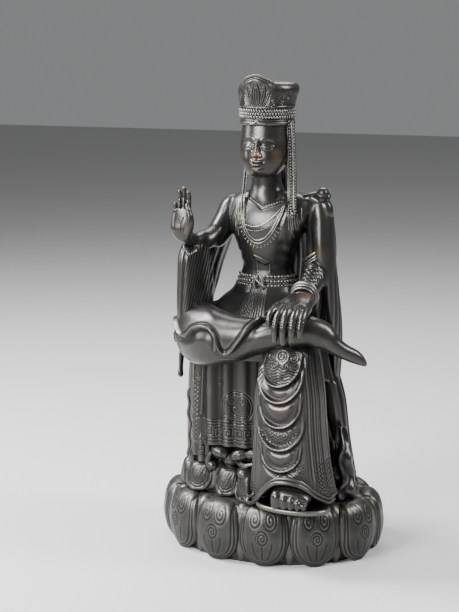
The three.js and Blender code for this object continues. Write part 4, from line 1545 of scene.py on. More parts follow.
    def build(self) -> None:
        """Makes the upper body and the left sleeve's cuffs."""
        shells = [
            Loft(self.torso, step=1.3, level=True, power=TORSO_POWER).build(),
            Loft(self.neck, step=1.3, level=True).build(),
            Loft(self.sleeve, step=1.2).build(),
            Loft(self.forearm, step=1.2).build(),
            Loft(self.arm_fold, step=1.2, level=True).build(),
        ]
        mesh = self.shop.fused("upper_body", shells, self.voxel, 8)
        self.shop.finish("upper_body", mesh, Bronze.ROBE, relief=self.relief, limit=78_000)
        self.cuffs()

    def cuffs(self) -> None:
        """Makes the rolled cuffs at the elbow and wrist and the bangles."""
        aslant = np.array([0.56, -0.04, -0.83])
        spine = traced(self.sleeve, 400)[:, :3]
        shells = []
        for *middle, half_width, half_depth, radius, slanted in self.rings:
            nearest = np.argmin(np.linalg.norm(spine - middle, axis=1))
            along = unit(aslant if slanted else spine[nearest + 3] - spine[nearest - 3])
            wide = unit(np.array([1.0, 0, 0]) - along[0] * along)
            deep = np.cross(along, wide)
            shells.append(ring_cord(np.array(middle), wide * half_width, deep * half_depth, along, radius))
        self.shop.finish("cuffs_and_bangles", shells, Bronze.TRIM)


def ring_cord(middle: Array, wide: Array, deep: Array, along: Array, radius: float) -> Shell:
    """A closed ring of cord round a limb.

    Args:
        middle: The ring's middle.
        wide: Its half width, as a vector.
        deep: Its half depth, as a vector.
        along: The way of the limb.
        radius: The cord's radius.

    Returns:
        The ring's skin.
    """
    count, sides = 96, 12
    turn = 2 * np.pi * np.arange(count) / count
    angle = 2 * np.pi * np.arange(sides) / sides
    out = np.cos(turn)[:, None] * wide + np.sin(turn)[:, None] * deep
    section = radius * (np.cos(angle)[:, None] * unit(out)[:, None] + np.sin(angle)[:, None] * along)
    points = (middle + out)[:, None] + section
    corner = np.arange(sides)
    i = np.arange(count)[:, None]
    after, above = (corner + 1) % sides, ((i + 1) % count) * sides
    quads = np.stack([i * sides + corner, above + corner, above + after, i * sides + after], axis=-1)
    return Shell(points.reshape(-1, 3), quads.reshape(-1, 4), np.empty((0, 3), int))


@dataclass
class Belt(Part):
    """The belt: rows of beads round the waist, and the looped clasp.

    Attributes:
        rows: How many rows of beads it has.
        pitch: The distance from row to row.
        lowest: The height of the lowest row.
        bead_radius: A bead's radius.
        middle: The waist's middle, as (x, y).
        levels: Two heights at the waist.
        half_widths: Half the belt's width at each.
        half_depths: Half its depth at each.
    """

    rows: int = 4
    pitch: float = 4.3
    lowest: float = 203.0
    bead_radius: float = 1.75
    middle: Station = (-5, -2)
    levels: Station = (201, 218)
    half_widths: Station = (32.6, 27.2)
    half_depths: Station = (26.8, 22.4)

    def build(self) -> None:
        """Makes the beads, the bands under them and the clasp."""
        shells = []
        x, y = self.middle
        size = (self.bead_radius, self.bead_radius, self.bead_radius * 0.95)
        for row in range(self.rows):
            z = self.lowest + self.pitch * row
            wide = np.interp(z, self.levels, self.half_widths)
            deep = np.interp(z, self.levels, self.half_depths)
            length = np.pi * (3 * (wide + deep) - math.sqrt((3 * wide + deep) * (wide + 3 * deep)))
            count = int(length / (2 * self.bead_radius * 0.96))
            for i in range(count):
                turn = 2 * math.pi * (i + 0.5 * (row % 2)) / count
                shells.append(bead((x + wide * math.cos(turn), y + deep * math.sin(turn), z), size))
            middle = np.array([x, y, z - self.pitch / 2])
            shells.append(ring_cord(middle, np.array([wide + 0.2, 0, 0]), np.array([0, deep + 0.2, 0]),
                                    np.array([0, 0, 1.0]), 0.9))
        self.shop.finish("belt_beads", shells, Bronze.TRIM)
        loop = [(-4 + 4.4 * math.sin(t), -30.2 + 0.25 * abs(math.cos(t)), 209.5 + 7.4 * math.cos(t))
                for t in np.linspace(0.25, 2 * math.pi - 0.25, 15)]
        crossing = [(-9.5, -28.4, 216.5), (-5, -31.4, 213), (0.5, -31.6, 208), (3.6, -29, 203.5)]
        tail = [(-3.8, -30.5, 203), (-3.5, -31.2, 199), (-3, -33, 195)]
        shells = [cord(loop, 1.7, sides=12, step=0.5), cord(crossing, 1.3, sides=10, step=0.5),
                  cord(tail, 1.6, sides=10, step=0.5, taper=0.3)]
        self.shop.finish("belt_clasp", shells, Bronze.TRIM)


@dataclass
class Head(Part):
    """The head: a calm, lowered-eyed face in even thirds, long ears, and the hair behind.

    Attributes:
        middle: The face's middle, across.
        hairline: The height where the face begins under the crown.
        chin: The height of the chin's end.
        eye_aside: How far an eye's middle is from the face's middle.
        ear_aside: How far an ear is from it.
        stations: The stations of the head, from under the chin up.
    """

    middle: float = -5.2
    hairline: float = 363.0
    chin: float = 316.0
    eye_aside: float = 9.6
    ear_aside: float = 22.6
    stations: Stations = (
        (-5.2, -17, 311.6, 7, 8), (-5.2, -17, 313.2, 11.8, 12.8), (-5.2, -16, 316, 15.8, 16.4),
        (-5.2, -13.6, 321.5, 19.8, 19.8), (-5.2, -11.4, 327.5, 22.6, 22), (-5.2, -10, 334, 24, 23.2),
        (-5.2, -9, 344, 24.6, 23.8), (-5.2, -7.8, 353, 24.2, 23.6), (-5.2, -6, 366, 23.6, 23),
    )

    def nose(self, u: Array, z: Array, base: float) -> Array:
        """The nose's height.

        Args:
            u: Across from the face's middle.
            z: Up.
            base: The height of the nose's base.

        Returns:
            Its height at each place.
        """
        rise = z - base
        profile = np.interp(rise, [-1.6, -0.4, 0.6, 2.0, 4.0, 8, 12, 15, 18.5],
                            [0, 0.7, 3.3, 4.9, 4.5, 3.1, 2.0, 1.0, 0])
        girth = np.interp(rise, [0, 3, 11, 16], [2.7, 2.4, 1.8, 2.4])
        wings = 1.9 * bump(np.abs(u), 3.2, 1.25) * bump(rise, 1.6, 1.6)
        nostrils = 1.0 * bump(np.abs(u), 1.8, 0.8) * bump(rise, -0.1, 0.7)
        return profile * np.exp(-((np.abs(u) / girth) ** 2.2)) + wings - nostrils

    def eyes(self, u: Array, z: Array, brow: float) -> Array:
        """The brows, the sockets, the lowered lids and their lines.

        Args:
            u: Across from the face's middle.
            z: Up.
            brow: The height of the brows' inner ends.

        Returns:
            Their height at each place.
        """
        a = np.abs(u)
        arch = brow + np.interp(a, [0, 2.2, 4, 6.5, 10, 13.5, 17, 20],
                                [-2.4, -1.0, 0.5, 1.8, 2.5, 1.8, -0.3, -3.2])
        beside = band(a, 2.2, 5.4, 12, 20)
        drop = arch - z
        socket = -1.15 * smooth(0, 3.4, drop) * (1 - smooth(5, 12, drop)) * beside
        ridge = 0.25 * bump(drop, -0.8, 0.9) * beside
        eye = brow - 5.6
        dx, dz = (a - self.eye_aside) / 6.6, (z - eye) / 3.9
        lid = 1.55 * np.clip(1 - dx**2 - dz**2, 0, 1) ** 0.75
        slit_line = eye - 1.5 + 0.03 * (a - self.eye_aside) ** 2
        slit = -0.7 * bump(z, slit_line, 0.45) * band(a, 3.6, 5.0, 14.2, 15.6)
        fold_line = eye + 2.4 - 0.045 * (a - self.eye_aside) ** 2
        fold = -0.22 * bump(z, fold_line, 0.45) * band(a, 4.4, 6, 13.4, 15)
        lower = 0.3 * bump(z, slit_line - 1.6, 1.1) * band(a, 4.6, 6.4, 12.6, 15)
        return socket + ridge + lid + slit + fold + lower

    def mouth(self, u: Array, z: Array, level: float) -> Array:
        """The lips, the line between them and the chin.

        Args:
            u: Across from the face's middle.
            z: Up.
            level: The height of the mouth's line at its middle.

        Returns:
            Their height at each place.
        """
        a = np.abs(u)
        line = level + 0.03 * a**2
        upper = 1.4 * bump(z, line + 1.4 + 0.3 * bump(a, 1.6, 1.2), 1.15) * (1 - smooth(3.4, 6.8, a))
        lower = 2.0 * bump(z, line - 1.8, 1.45) * (1 - smooth(2.4, 6.0, a))
        parting = -1.1 * bump(z, line, 0.45) * (1 - smooth(5.0, 7.0, a))
        corner = -0.4 * np.exp(-((a - 6.8) ** 2 + (z - line) ** 2) / 3.2)
        under = -0.8 * bump(a, 0, 4.0) * bump(z, level - 4.4, 1.1)
        philtrum = -0.35 * bump(a, 0, 0.9) * bump(z, level + 3.8, 1.2)
        rounded = 1.0 * bump(a, 0, 8) * bump(z, level - 0.4, 5)
        chin = 1.9 * bump(a, 0, 6) * bump(z, self.chin + 3.4, 3.4)
        return upper + lower + parting + corner + under + philtrum + rounded + chin

    def face(self) -> Shell:
        """The head from the chin up under the crown.

        Returns:
            The head's skin.
        """
        third = (self.hairline - self.chin) / 3
        brow, nose_base = self.hairline - third, self.chin + third
        mouth_line = nose_base - third / 3

        def carve(degrees: Array, share: Array, places: Array) -> Array:
            """The face's relief.

            Args:
                degrees: The corners' angles round the body.
                share: How far along the body each ring stands.
                places: The corners' places.

            Returns:
                What is added to the radius.
            """
            u, z = places[..., 0] - self.middle, places[..., 2]
            front = smooth(100, 74, np.abs(degrees + 90)) * np.ones_like(z)
            cheeks = 1.2 * bump(np.abs(u), 11, 8) * bump(z, nose_base, 8.5)
            parts = self.nose(u, z, nose_base) + self.eyes(u, z, brow) + self.mouth(u, z, mouth_line) + cheeks
            return front * parts

        return Loft(self.stations, step=0.34, front=4.0, level=True, power=2.12, carve=carve).build()

    def ear(self, side: int) -> list[Shell]:
        """One long ear: its lobe, its rim and its inner fold.

        Args:
            side: 1 for the left ear, -1 for the right.

        Returns:
            The ear's skins.
        """
        x = self.middle + self.ear_aside * side
        body = Loft([(x - 0.6 * side, -8.5, 322, 1.2, 1.6), (x, -8, 325, 2.1, 3.0),
                     (x + 0.4 * side, -7, 332, 2.2, 3.4), (x + 1.2 * side, -6, 341, 2.3, 4.6),
                     (x + 1.4 * side, -5, 349, 2.0, 4.4),
                     (x + 0.8 * side, -4.6, 353, 1.2, 2.4)], step=0.6, level=True).build()
        rim = [(x + 1.6 * side, -9.6, 345), (x + 2.4 * side, -9, 350), (x + 2.6 * side, -5, 353.5),
               (x + 2.8 * side, -1, 350), (x + 2.6 * side, -1.6, 342), (x + 2.0 * side, -4.4, 334),
               (x + 1.6 * side, -6.2, 327)]
        inner = [(x + 2.4 * side, -7.6, 347), (x + 2.9 * side, -4.6, 349), (x + 2.8 * side, -4, 343),
                 (x + 2.2 * side, -6, 338)]
        return [body, cord(rim, 1.15, sides=10, step=0.6), cord(inner, 0.8, sides=8, step=0.6)]

    def hair(self) -> Shell:
        """The hair behind the ears, combed down to the mantle.

        Returns:
            The hair's skin.
        """

        def carve(degrees: Array, share: Array, places: Array) -> Array:
            """Fine combed strands in wider locks."""
            turn = np.radians(degrees)
            return 0.45 * np.cos(46 * turn + 5 * share) + 0.6 * np.cos(13 * turn - 2 * share)

        return Loft([(-4, 13, 286, 13, 6), (-5, 12, 300, 14, 8), (-6, 8, 318, 19, 13), (-6, 4, 336, 23.5, 16),
                     (-6, 1, 362, 24.5, 18)], step=0.75, level=True, carve=carve).build()

    def build(self) -> None:
        """Makes the head's pieces."""
        self.shop.finish("face", [self.face()], Bronze.SKIN, span=9, soft=0.8)
        self.shop.finish("hair_and_ears", [self.hair(), *self.ear(1), *self.ear(-1)], Bronze.ROBE)


@dataclass
class Crown(Part):
    """The tall crown: beaded bands, a flaring drum, and a peaked plate with leaves at the front.

    Attributes:
        middle: Its middle, as (x, y).
        reach: How far round the front plate goes to each side, in degrees.
        plate_foot: The height of the plate's lower edge.
        peak: The height of the plate's peak.
        wall: The plate's thickness.
        grain_rows: How many rows of grains it has.
        grain_count: How many grains a row has.
        grain_foot: The height of the lowest row.
        grain_pitch: The distance from row to row.
        grain_reach: The half width and half depth of a row.
        wall_reach: The radius that the whorls on the drum are laid out on.
    """

    middle: Station = (-5.0, -6.0)
    reach: float = 52.0
    plate_foot: float = 378.0
    peak: float = 410.0
    wall: float = 4.5
    grain_rows: int = 3
    grain_count: int = 60
    grain_foot: float = 369.6
    grain_pitch: float = 2.95
    grain_reach: Station = (26.4, 27.0)
    wall_reach: float = 28.5

    def drum(self) -> Shell:
        """The drum: a fillet, the ground of the beads, and the flaring smooth wall above.

        Returns:
            The drum's skin.
        """
        x, y = self.middle
        stations = [(x, y, 361.4, 24.4, 25.2), (x, y, 362.2, 26.3, 27.0), (x, y, 364.4, 26.8, 27.5),
                    (x, y, 365.6, 25.6, 26.4), (x, y, 366.6, 26.6, 27.2), (x, y, 368.0, 25.8, 26.5),
                    (x, y, 377.5, 26.0, 26.6), (x, y, 379.2, 27.2, 27.4), (x, y, 381, 26.6, 26.8),
                    (x, y + 0.5, 388, 28.4, 28.0), (x, y + 1, 394, 30.2, 29.2),
                    (x, y + 1.2, 397.4, 30.2, 29.0), (x, y + 1.4, 400, 28.6, 27.4),
                    (x, y + 1.6, 402, 25, 24), (x, y + 2, 403, 19, 18), (x, y + 2, 403.4, 11, 10),
                    (x, y + 2, 403.4, 5, 5)]

        def carve(degrees: Array, share: Array, places: Array) -> Array:
            """Cloud whorls low on the drum's sides and back.

            Args:
                degrees: The corners' angles round the body.
                share: How far along the body each ring stands.
                places: The corners' places.

            Returns:
                What is added to the radius.
            """
            z = places[..., 2]
            turn = np.radians(degrees) * self.wall_reach + 0 * z
            starts = [math.radians(angle) * self.wall_reach for angle in (-143, -37, 8, 90, 172)]
            spirals = [(start, 386.5, 4, 1) for start in starts]
            spirals += [(start + 5.6, 389.9, 3.2, -1) for start in starts]
            marks = whorls(turn, z, spirals, 1.8)
            corner = 1.8 * bump(degrees, -157, 35) * smooth(385, 398, z)
            return -0.85 * marks - corner

        return Loft(stations, step=0.62, level=True, carve=carve).build()

    def grains(self) -> list[Shell]:
        """The rows of slanted grains round the crown, each row leaning against the next.

        Returns:
            The grains' skins.
        """
        x, y = self.middle
        wide, deep = self.grain_reach
        shells = []
        for row in range(self.grain_rows):
            z = self.grain_foot + self.grain_pitch * row
            for i in range(self.grain_count):
                turn = 2 * math.pi * (i + 0.5 * (row % 2)) / self.grain_count
                place = (x + wide * math.cos(turn), y + deep * math.sin(turn), z)
                lean = (0.7 if row % 2 else -0.7) * -math.sin(turn)
                shells.append(bead(place, (1.15, 1.15, 1.95), lean))
        return shells

    def place_on_plate(self, turn: Array, z: Array, radius: Array) -> Array:
        """Places on the plate's cylinder.

        Args:
            turn: Degrees round from the front.
            z: Up.
            radius: How far out.

        Returns:
            The places.
        """
        angle = np.radians(turn - 90)
        x, y = self.middle
        return np.stack([x + radius * np.cos(angle), y + radius * np.sin(angle), z + 0 * angle], axis=-1)

    def plate(self) -> Shell:
        """The front plate: a curved sheet whose top rises to a peak, with its palmette.

        Returns:
            The plate's skin.
        """
        columns, rows = 220, 76
        turn = np.linspace(self.reach, -self.reach, columns)[:, None]
        side = np.abs(turn)
        rim = self.peak - 17 * (side / 68) ** 1.3 - 1.2 * bump(side, 33, 10)
        rim = np.maximum(rim, 401) - 3 * smooth(38, 50, side)
        height = np.linspace(0, 1, rows)[None, :]
        z = self.plate_foot + (rim - self.plate_foot) * height
        radius = 28.2 + 1.6 * height + 2.4 * height**2 - smooth(20, 46, side) * (2.2 + 2.6 * height)
        across = np.radians(turn) * 30 + 0 * z
        outer = radius + self.leaves(across, z, rim, height)
        inner = radius - self.wall + 0 * z
        front = self.place_on_plate(turn + 0 * z, z, outer)
        back = self.place_on_plate(turn + 0 * z, z, inner)
        rings = np.concatenate([front, back[:, ::-6]], axis=1)
        return skin_of(rings)

    def leaves(self, across: Array, z: Array, rim: Array, height: Array) -> Array:
        """The plate's relief: a rim of two lines, a palmette of flame leaves and scallops beside it.

        Args:
            across: Round the plate from its middle, as a length.
            z: Up.
            rim: The height of the rim.
            height: The share of the plate's height.

        Returns:
            The relief's height.
        """
        below = rim - z
        middle = 1 - smooth(15, 21, np.abs(across))
        lines = np.maximum(bump(below, 2.2, 0.5), bump(below, 4.2, 0.5)) * middle
        low = self.plate_foot + 1
        palm = np.zeros_like(z)
        for x0, half, tall, lean in ((9.4, 3.4, 11, 0.6), (6.4, 3.8, 16.5, 0.45), (3.4, 4, 21, 0.25),
                                     (0, 4.4, 24, 0)):
            for side in (-1, 1):
                palm = leaf(palm, across, z, (side * x0, low), (half, tall), side * lean)
        for side in (-1, 1):
            for radius in (3.0, 5.4, 7.8):
                reach = np.hypot(across - side * 17.5, z - low)
                palm = np.maximum(palm, 0.8 * bump(reach, radius, 0.6) * (np.abs(across) > 13.5))
        swell = 1.2 * bump(across, 0, 9) * smooth(0, 0.25, height) * (1 - smooth(0.75, 1.0, height))
        ground = smooth(4.8, 5.6, below) * (0.35 + 0.65 * middle)
        return swell - 0.6 * lines - 0.8 * ground * palm + 0.5 * (below < 2.2) * middle

    def fillet_arch(self) -> list[Shell]:
        """The small pointed arch on the fillet over the brow.

        Returns:
            The arch's skins.
        """
        x, y = self.middle
        places = [(-8.5, 363.4), (-4.5, 363.8), (-1.6, 365.2), (0, 366.6), (1.6, 365.2), (4.5, 363.8),
                  (8.5, 363.4)]
        line = [(x + u, y - math.sqrt(max(0.0, 27.9**2 - u * u)), z - 0.4) for u, z in places]
        return [cord(line, 0.9, sides=10, step=0.5)]

    def build(self) -> None:
        """Makes the crown's pieces."""
        self.shop.finish("crown_drum", [self.drum()], Bronze.ROBE)
        self.shop.finish("crown_grains", [*self.grains(), *self.fillet_arch()], Bronze.TRIM)
        self.shop.finish("crown_plate", [self.plate()], Bronze.TRIM)


@dataclass
class Strands(Part):
    """Everything strung: the plaits beside the face, the necklaces and their pendants.

    Attributes:
        bead_radius: The radius of a plait's bead.
        torso: The stations of the torso, which the necklaces lie on.
    """

    bead_radius: float = 1.25
    torso: Stations = UpperBody.torso

    def on_chest(self, x: float, z: float, proud: float) -> tuple[float, float, float]:
        """A place on the chest, or proud of it."""
        return (x, front_of(self.torso, x, z, TORSO_POWER) - proud, z)

    def plaits(self) -> None:
        """Makes the beaded plaits by the left ear and the thin strand by the right."""
        left = [(22, -12, 366), (23.6, -12, 345), (24.8, -13, 322), (26.2, -15, 303), (28, -19.5, 289),
                (28.8, -22, 280)]
        right = [(-27, -3, 366), (-27.6, -4.5, 345), (-28, -6, 330), (-27.4, -9, 312), (-26.2, -15, 300),
                 (-25.2, -21.5, 286), (-24, -25.5, 274)]
        shells = []
        for side in (-1, 1):
            line = traced([(x + 1.8 * side, y - 2.8, z) for x, y, z in left], 600)
            size = (self.bead_radius * 1.3, self.bead_radius, self.bead_radius)
            shells += [bead(place, size, 0.5 * side) for place in spaced(line, 2.2 * self.bead_radius)]
        for shift, deep in ((-4.4, -1.2), (-6.2, 0.4)):
            shells.append(cord([(x + shift, y + deep, z) for x, y, z in left[:5]], 0.75, sides=8, step=1.0))
        x, y, z = left[-1]
        shells += [cord(left, 2.5, sides=14, step=1.2), bead((x, y - 2.4, z - 1.5), (2.9, 2.4, 2.2)),
                   cord(right, 1.1, sides=12, step=0.8, twist=4.0),
                   cord([(x + 2.6, y - 0.2, z) for x, y, z in right[2:]], 0.6, sides=8, step=1.0)]
        for shift in (-1.7, 0.2, 2.1):
            tassel = [self.on_chest(x + shift + 0.03 * drop, z - 2 - drop, 1.0) for drop in (0, 5, 10, 17)]
            shells.append(cord(tassel, 0.95, sides=8, step=0.8, twist=3.5))
        self.shop.finish("plaits", shells, Bronze.ROBE)

    def necklaces(self) -> None:
        """Makes the long loop, the inner loop, the fringe of pendants and the strands beside them."""
        big = [(-23.5, 292), (-23, 275), (-19.5, 262), (-14, 253), (-7, 249), (1, 251), (8, 258), (13.5, 268),
               (17.5, 277), (19.5, 287)]
        inner = [(-21, 267), (-15, 265.4), (-9, 265), (-2, 266.6), (5, 271), (12, 277.5), (17.5, 285)]
        second = [(-20.5, 263), (-14, 261.2), (-7, 260.8), (0, 262.4), (6, 266.4), (11.5, 272)]
        shells = [cord([self.on_chest(x, z, 0.5) for x, z in inner], 0.85, sides=10, step=0.7)]
        for scale in (1.0, 0.93):
            line = [(-2 + (x + 2) * scale, 292 + (z - 292) * scale) for x, z in big]
            shells.append(cord([self.on_chest(x, z, 0.7) for x, z in line], 0.95, sides=10, step=0.7))
        for x, z in spaced(traced(second, 400), 1.9):
            shells.append(bead(self.on_chest(x, z, 0.2), (0.75, 0.7, 1.0)))
        for x, z in spaced(traced(big, 400), 3.3):
            if z < 274:
                way = unit(np.array([x + 3, z - 275]))
                for step, radius in ((2.9, 0.75), (4.6, 0.9)):
                    place = self.on_chest(x + way[0] * step, z + way[1] * step, 0)
                    shells.append(bead(place, (radius * 1.3, radius * 0.8, radius)))
        for x, top, low in ((-31.5, 284, 258), (-29, 287, 254), (-26.6, 288, 268), (22.6, 288, 262),
                            (25, 280, 254), (34, 284, 262)):
            line = [self.on_chest(x + 0.06 * (top - z), z, 0.0) for z in np.linspace(top, low, 6)]
            shells.append(cord(line, 0.75, sides=8, step=0.9, twist=3.2))
        self.shop.finish("necklaces", shells, Bronze.TRIM)

    def build(self) -> None:
        """Makes the plaits and the necklaces."""
        self.plaits()
        self.necklaces()


@dataclass
class Hands(Part):
    """The raised right hand and the left hand that rests on the folded shin.

    Attributes:
        voxel: How fine their skins are.
    """

    voxel: float = 0.46

    def raised(self) -> None:
        """Makes the right hand, its palm to the front and its fingers together."""
        parts = [
            Loft([(-62, -62, 253.5, 6.8, 6.8), (-62.8, -68, 257.5, 6.6, 6.2), (-63, -72, 262, 6.8, 5.6)],
                 step=0.9).build(),
            Loft([(-63, -71.5, 255.4, 6.0, 4.4), (-63.4, -73.5, 259, 9.0, 5.8), (-64, -75.6, 265, 11.0, 6.0),
                  (-64, -76, 272, 10.9, 5.0), (-63.6, -75.8, 279, 10.0, 4.2), (-63.4, -75.5, 285, 9.0, 3.2)],
                 step=0.8, power=2.2).build(),
            Loft([(-57.4, -77, 263, 4.6, 5.0), (-54.6, -79.4, 271, 4.2, 4.6),
                  (-53.6, -80.6, 278, 3.3, 3.6), (-55.2, -80.4, 284, 2.7, 2.9),
                  (-57, -79.6, 288.6, 2.1, 2.3), (-57.8, -79.4, 290.6, 0.8, 0.9)],
                 step=0.6).build(),
        ]
        for i, (tip, girth) in enumerate(((291.5, 1.95), (303.0, 2.05), (306.4, 2.2), (302.4, 2.35))):
            x = -70.6 + 4.5 * i
            half = (282 + tip) / 2
            parts.append(Loft([
                (x, -75.6, 279, girth, 3.0), (x, -75.8, 286, girth, 2.8),
                (x + 0.1, -75.2, half + 2, girth, 2.7), (x + 0.2, -76.0, tip - 4, girth * 0.92, 2.4),
                (x + 0.2, -76.9, tip - 1.2, girth * 0.75, 1.9),
                (x + 0.2, -77.2, tip, 0.7, 0.8),
            ], step=0.5).build())

        def relief(points: Array, normals: Array) -> Array:
            """The palm's pads and lines, and the finger joints.

            Args:
                points: The skin's places.
                normals: The outward ways.

            Returns:
                What is added to the places, along the normals.
            """
            x, y, z = points.T
            palm = smooth(0.0, -0.4, normals[:, 1])
            pads = 0.7 * np.exp(-((x + 57) ** 2 / 12 + (z - 268) ** 2 / 50))
            pads = pads + 0.7 * np.exp(-((x + 70) ** 2 / 12 + (z - 266) ** 2 / 60))
            lines = drawn(x, z, [(-60.5, 277), (-63, 270), (-62.5, 262)], 0.5)
            joints = sum(bump(z, level - 0.35 * np.abs(x + 63), 0.4) for level in (287, 295.5))
            return palm * (pads - 0.35 * np.clip(lines, 0, 1) - 0.35 * np.clip(joints, 0, 1) * (z > 283))

        mesh = self.shop.fused("right_hand", parts, self.voxel, 3)
        self.shop.finish("right_hand", mesh, Bronze.SKIN, relief=relief, limit=60_000)

    def resting(self) -> None:
        """Makes the left hand, its fingers bent over the shin."""
        parts = [Loft([(49, -50, 203, 8.5, 6.6), (50, -56, 203.4, 10.5, 6.8), (51, -63, 203.4, 13.4, 6.8),
                       (51.5, -74, 201.6, 15.8, 6.0), (51.5, -83, 198, 16.3, 5.4),
                       (51.5, -87, 196, 15.8, 4.4)],
                      step=0.9, power=2.3).build()]
        reaches = [
            [(43, -79, 200), (42, -90.5, 196.4), (40.6, -98, 189), (39.9, -100.4, 180), (39.6, -99.6, 171)],
            [(50, -79, 201), (49.5, -92, 197.2), (48.6, -99, 189), (47.9, -101.0, 179), (47.6, -99.6, 169)],
            [(57, -79, 200.4), (57, -91, 196.4), (56.6, -98, 189), (56, -100.0, 180), (55.6, -98.6, 171.5)],
            [(63.6, -77, 198.6), (63.7, -88, 195), (63.4, -94.6, 188.6), (62.6, -96.8, 181),
             (62.2, -96, 175)],
            [(38, -66, 200), (34.6, -78, 199), (32.6, -88, 195), (31.8, -93.6, 189), (31.8, -94.6, 184)],
        ]
        for points in reaches:
            girths = (4.1, 3.9, 3.7, 3.4, 2.6)
            stations = [(x, y, z, g, g * 1.04) for (x, y, z), g in zip(points, girths)]
            x, y, z = points[-1]
            stations.append((x, y + 0.5, z - 2.2, 1.2, 1.2))
            parts.append(Loft(stations, step=0.5).build())

        def relief(points: Array, normals: Array) -> Array:
            """The knuckles, the rings of lines on the fingers, and the nails.

            Args:
                points: The skin's places.
                normals: The outward ways.

            Returns:
                What is added to the places, along the normals.
            """
            x, y, z = points.T
            fingers = (y < -90) * smooth(0.3, -0.3, normals[:, 1])
            rings = sum(bump(z, level, 0.4) for level in (190, 187.6, 185.2))
            knuckles = np.zeros(len(points))
            for kx in (43, 50, 57, 63.4):
                knuckles += 0.7 * np.exp(-((x - kx) ** 2 + (y + 86) ** 2) / 6.0) * (normals[:, 2] > 0.2)
            return knuckles - 0.24 * fingers * np.clip(rings, 0, 1)

        mesh = self.shop.fused("left_hand", parts, self.voxel, 3)
        self.shop.finish("left_hand", mesh, Bronze.SKIN, relief=relief, limit=38_000)

    def build(self) -> None:
        """Makes both hands."""
        self.raised()
        self.resting()


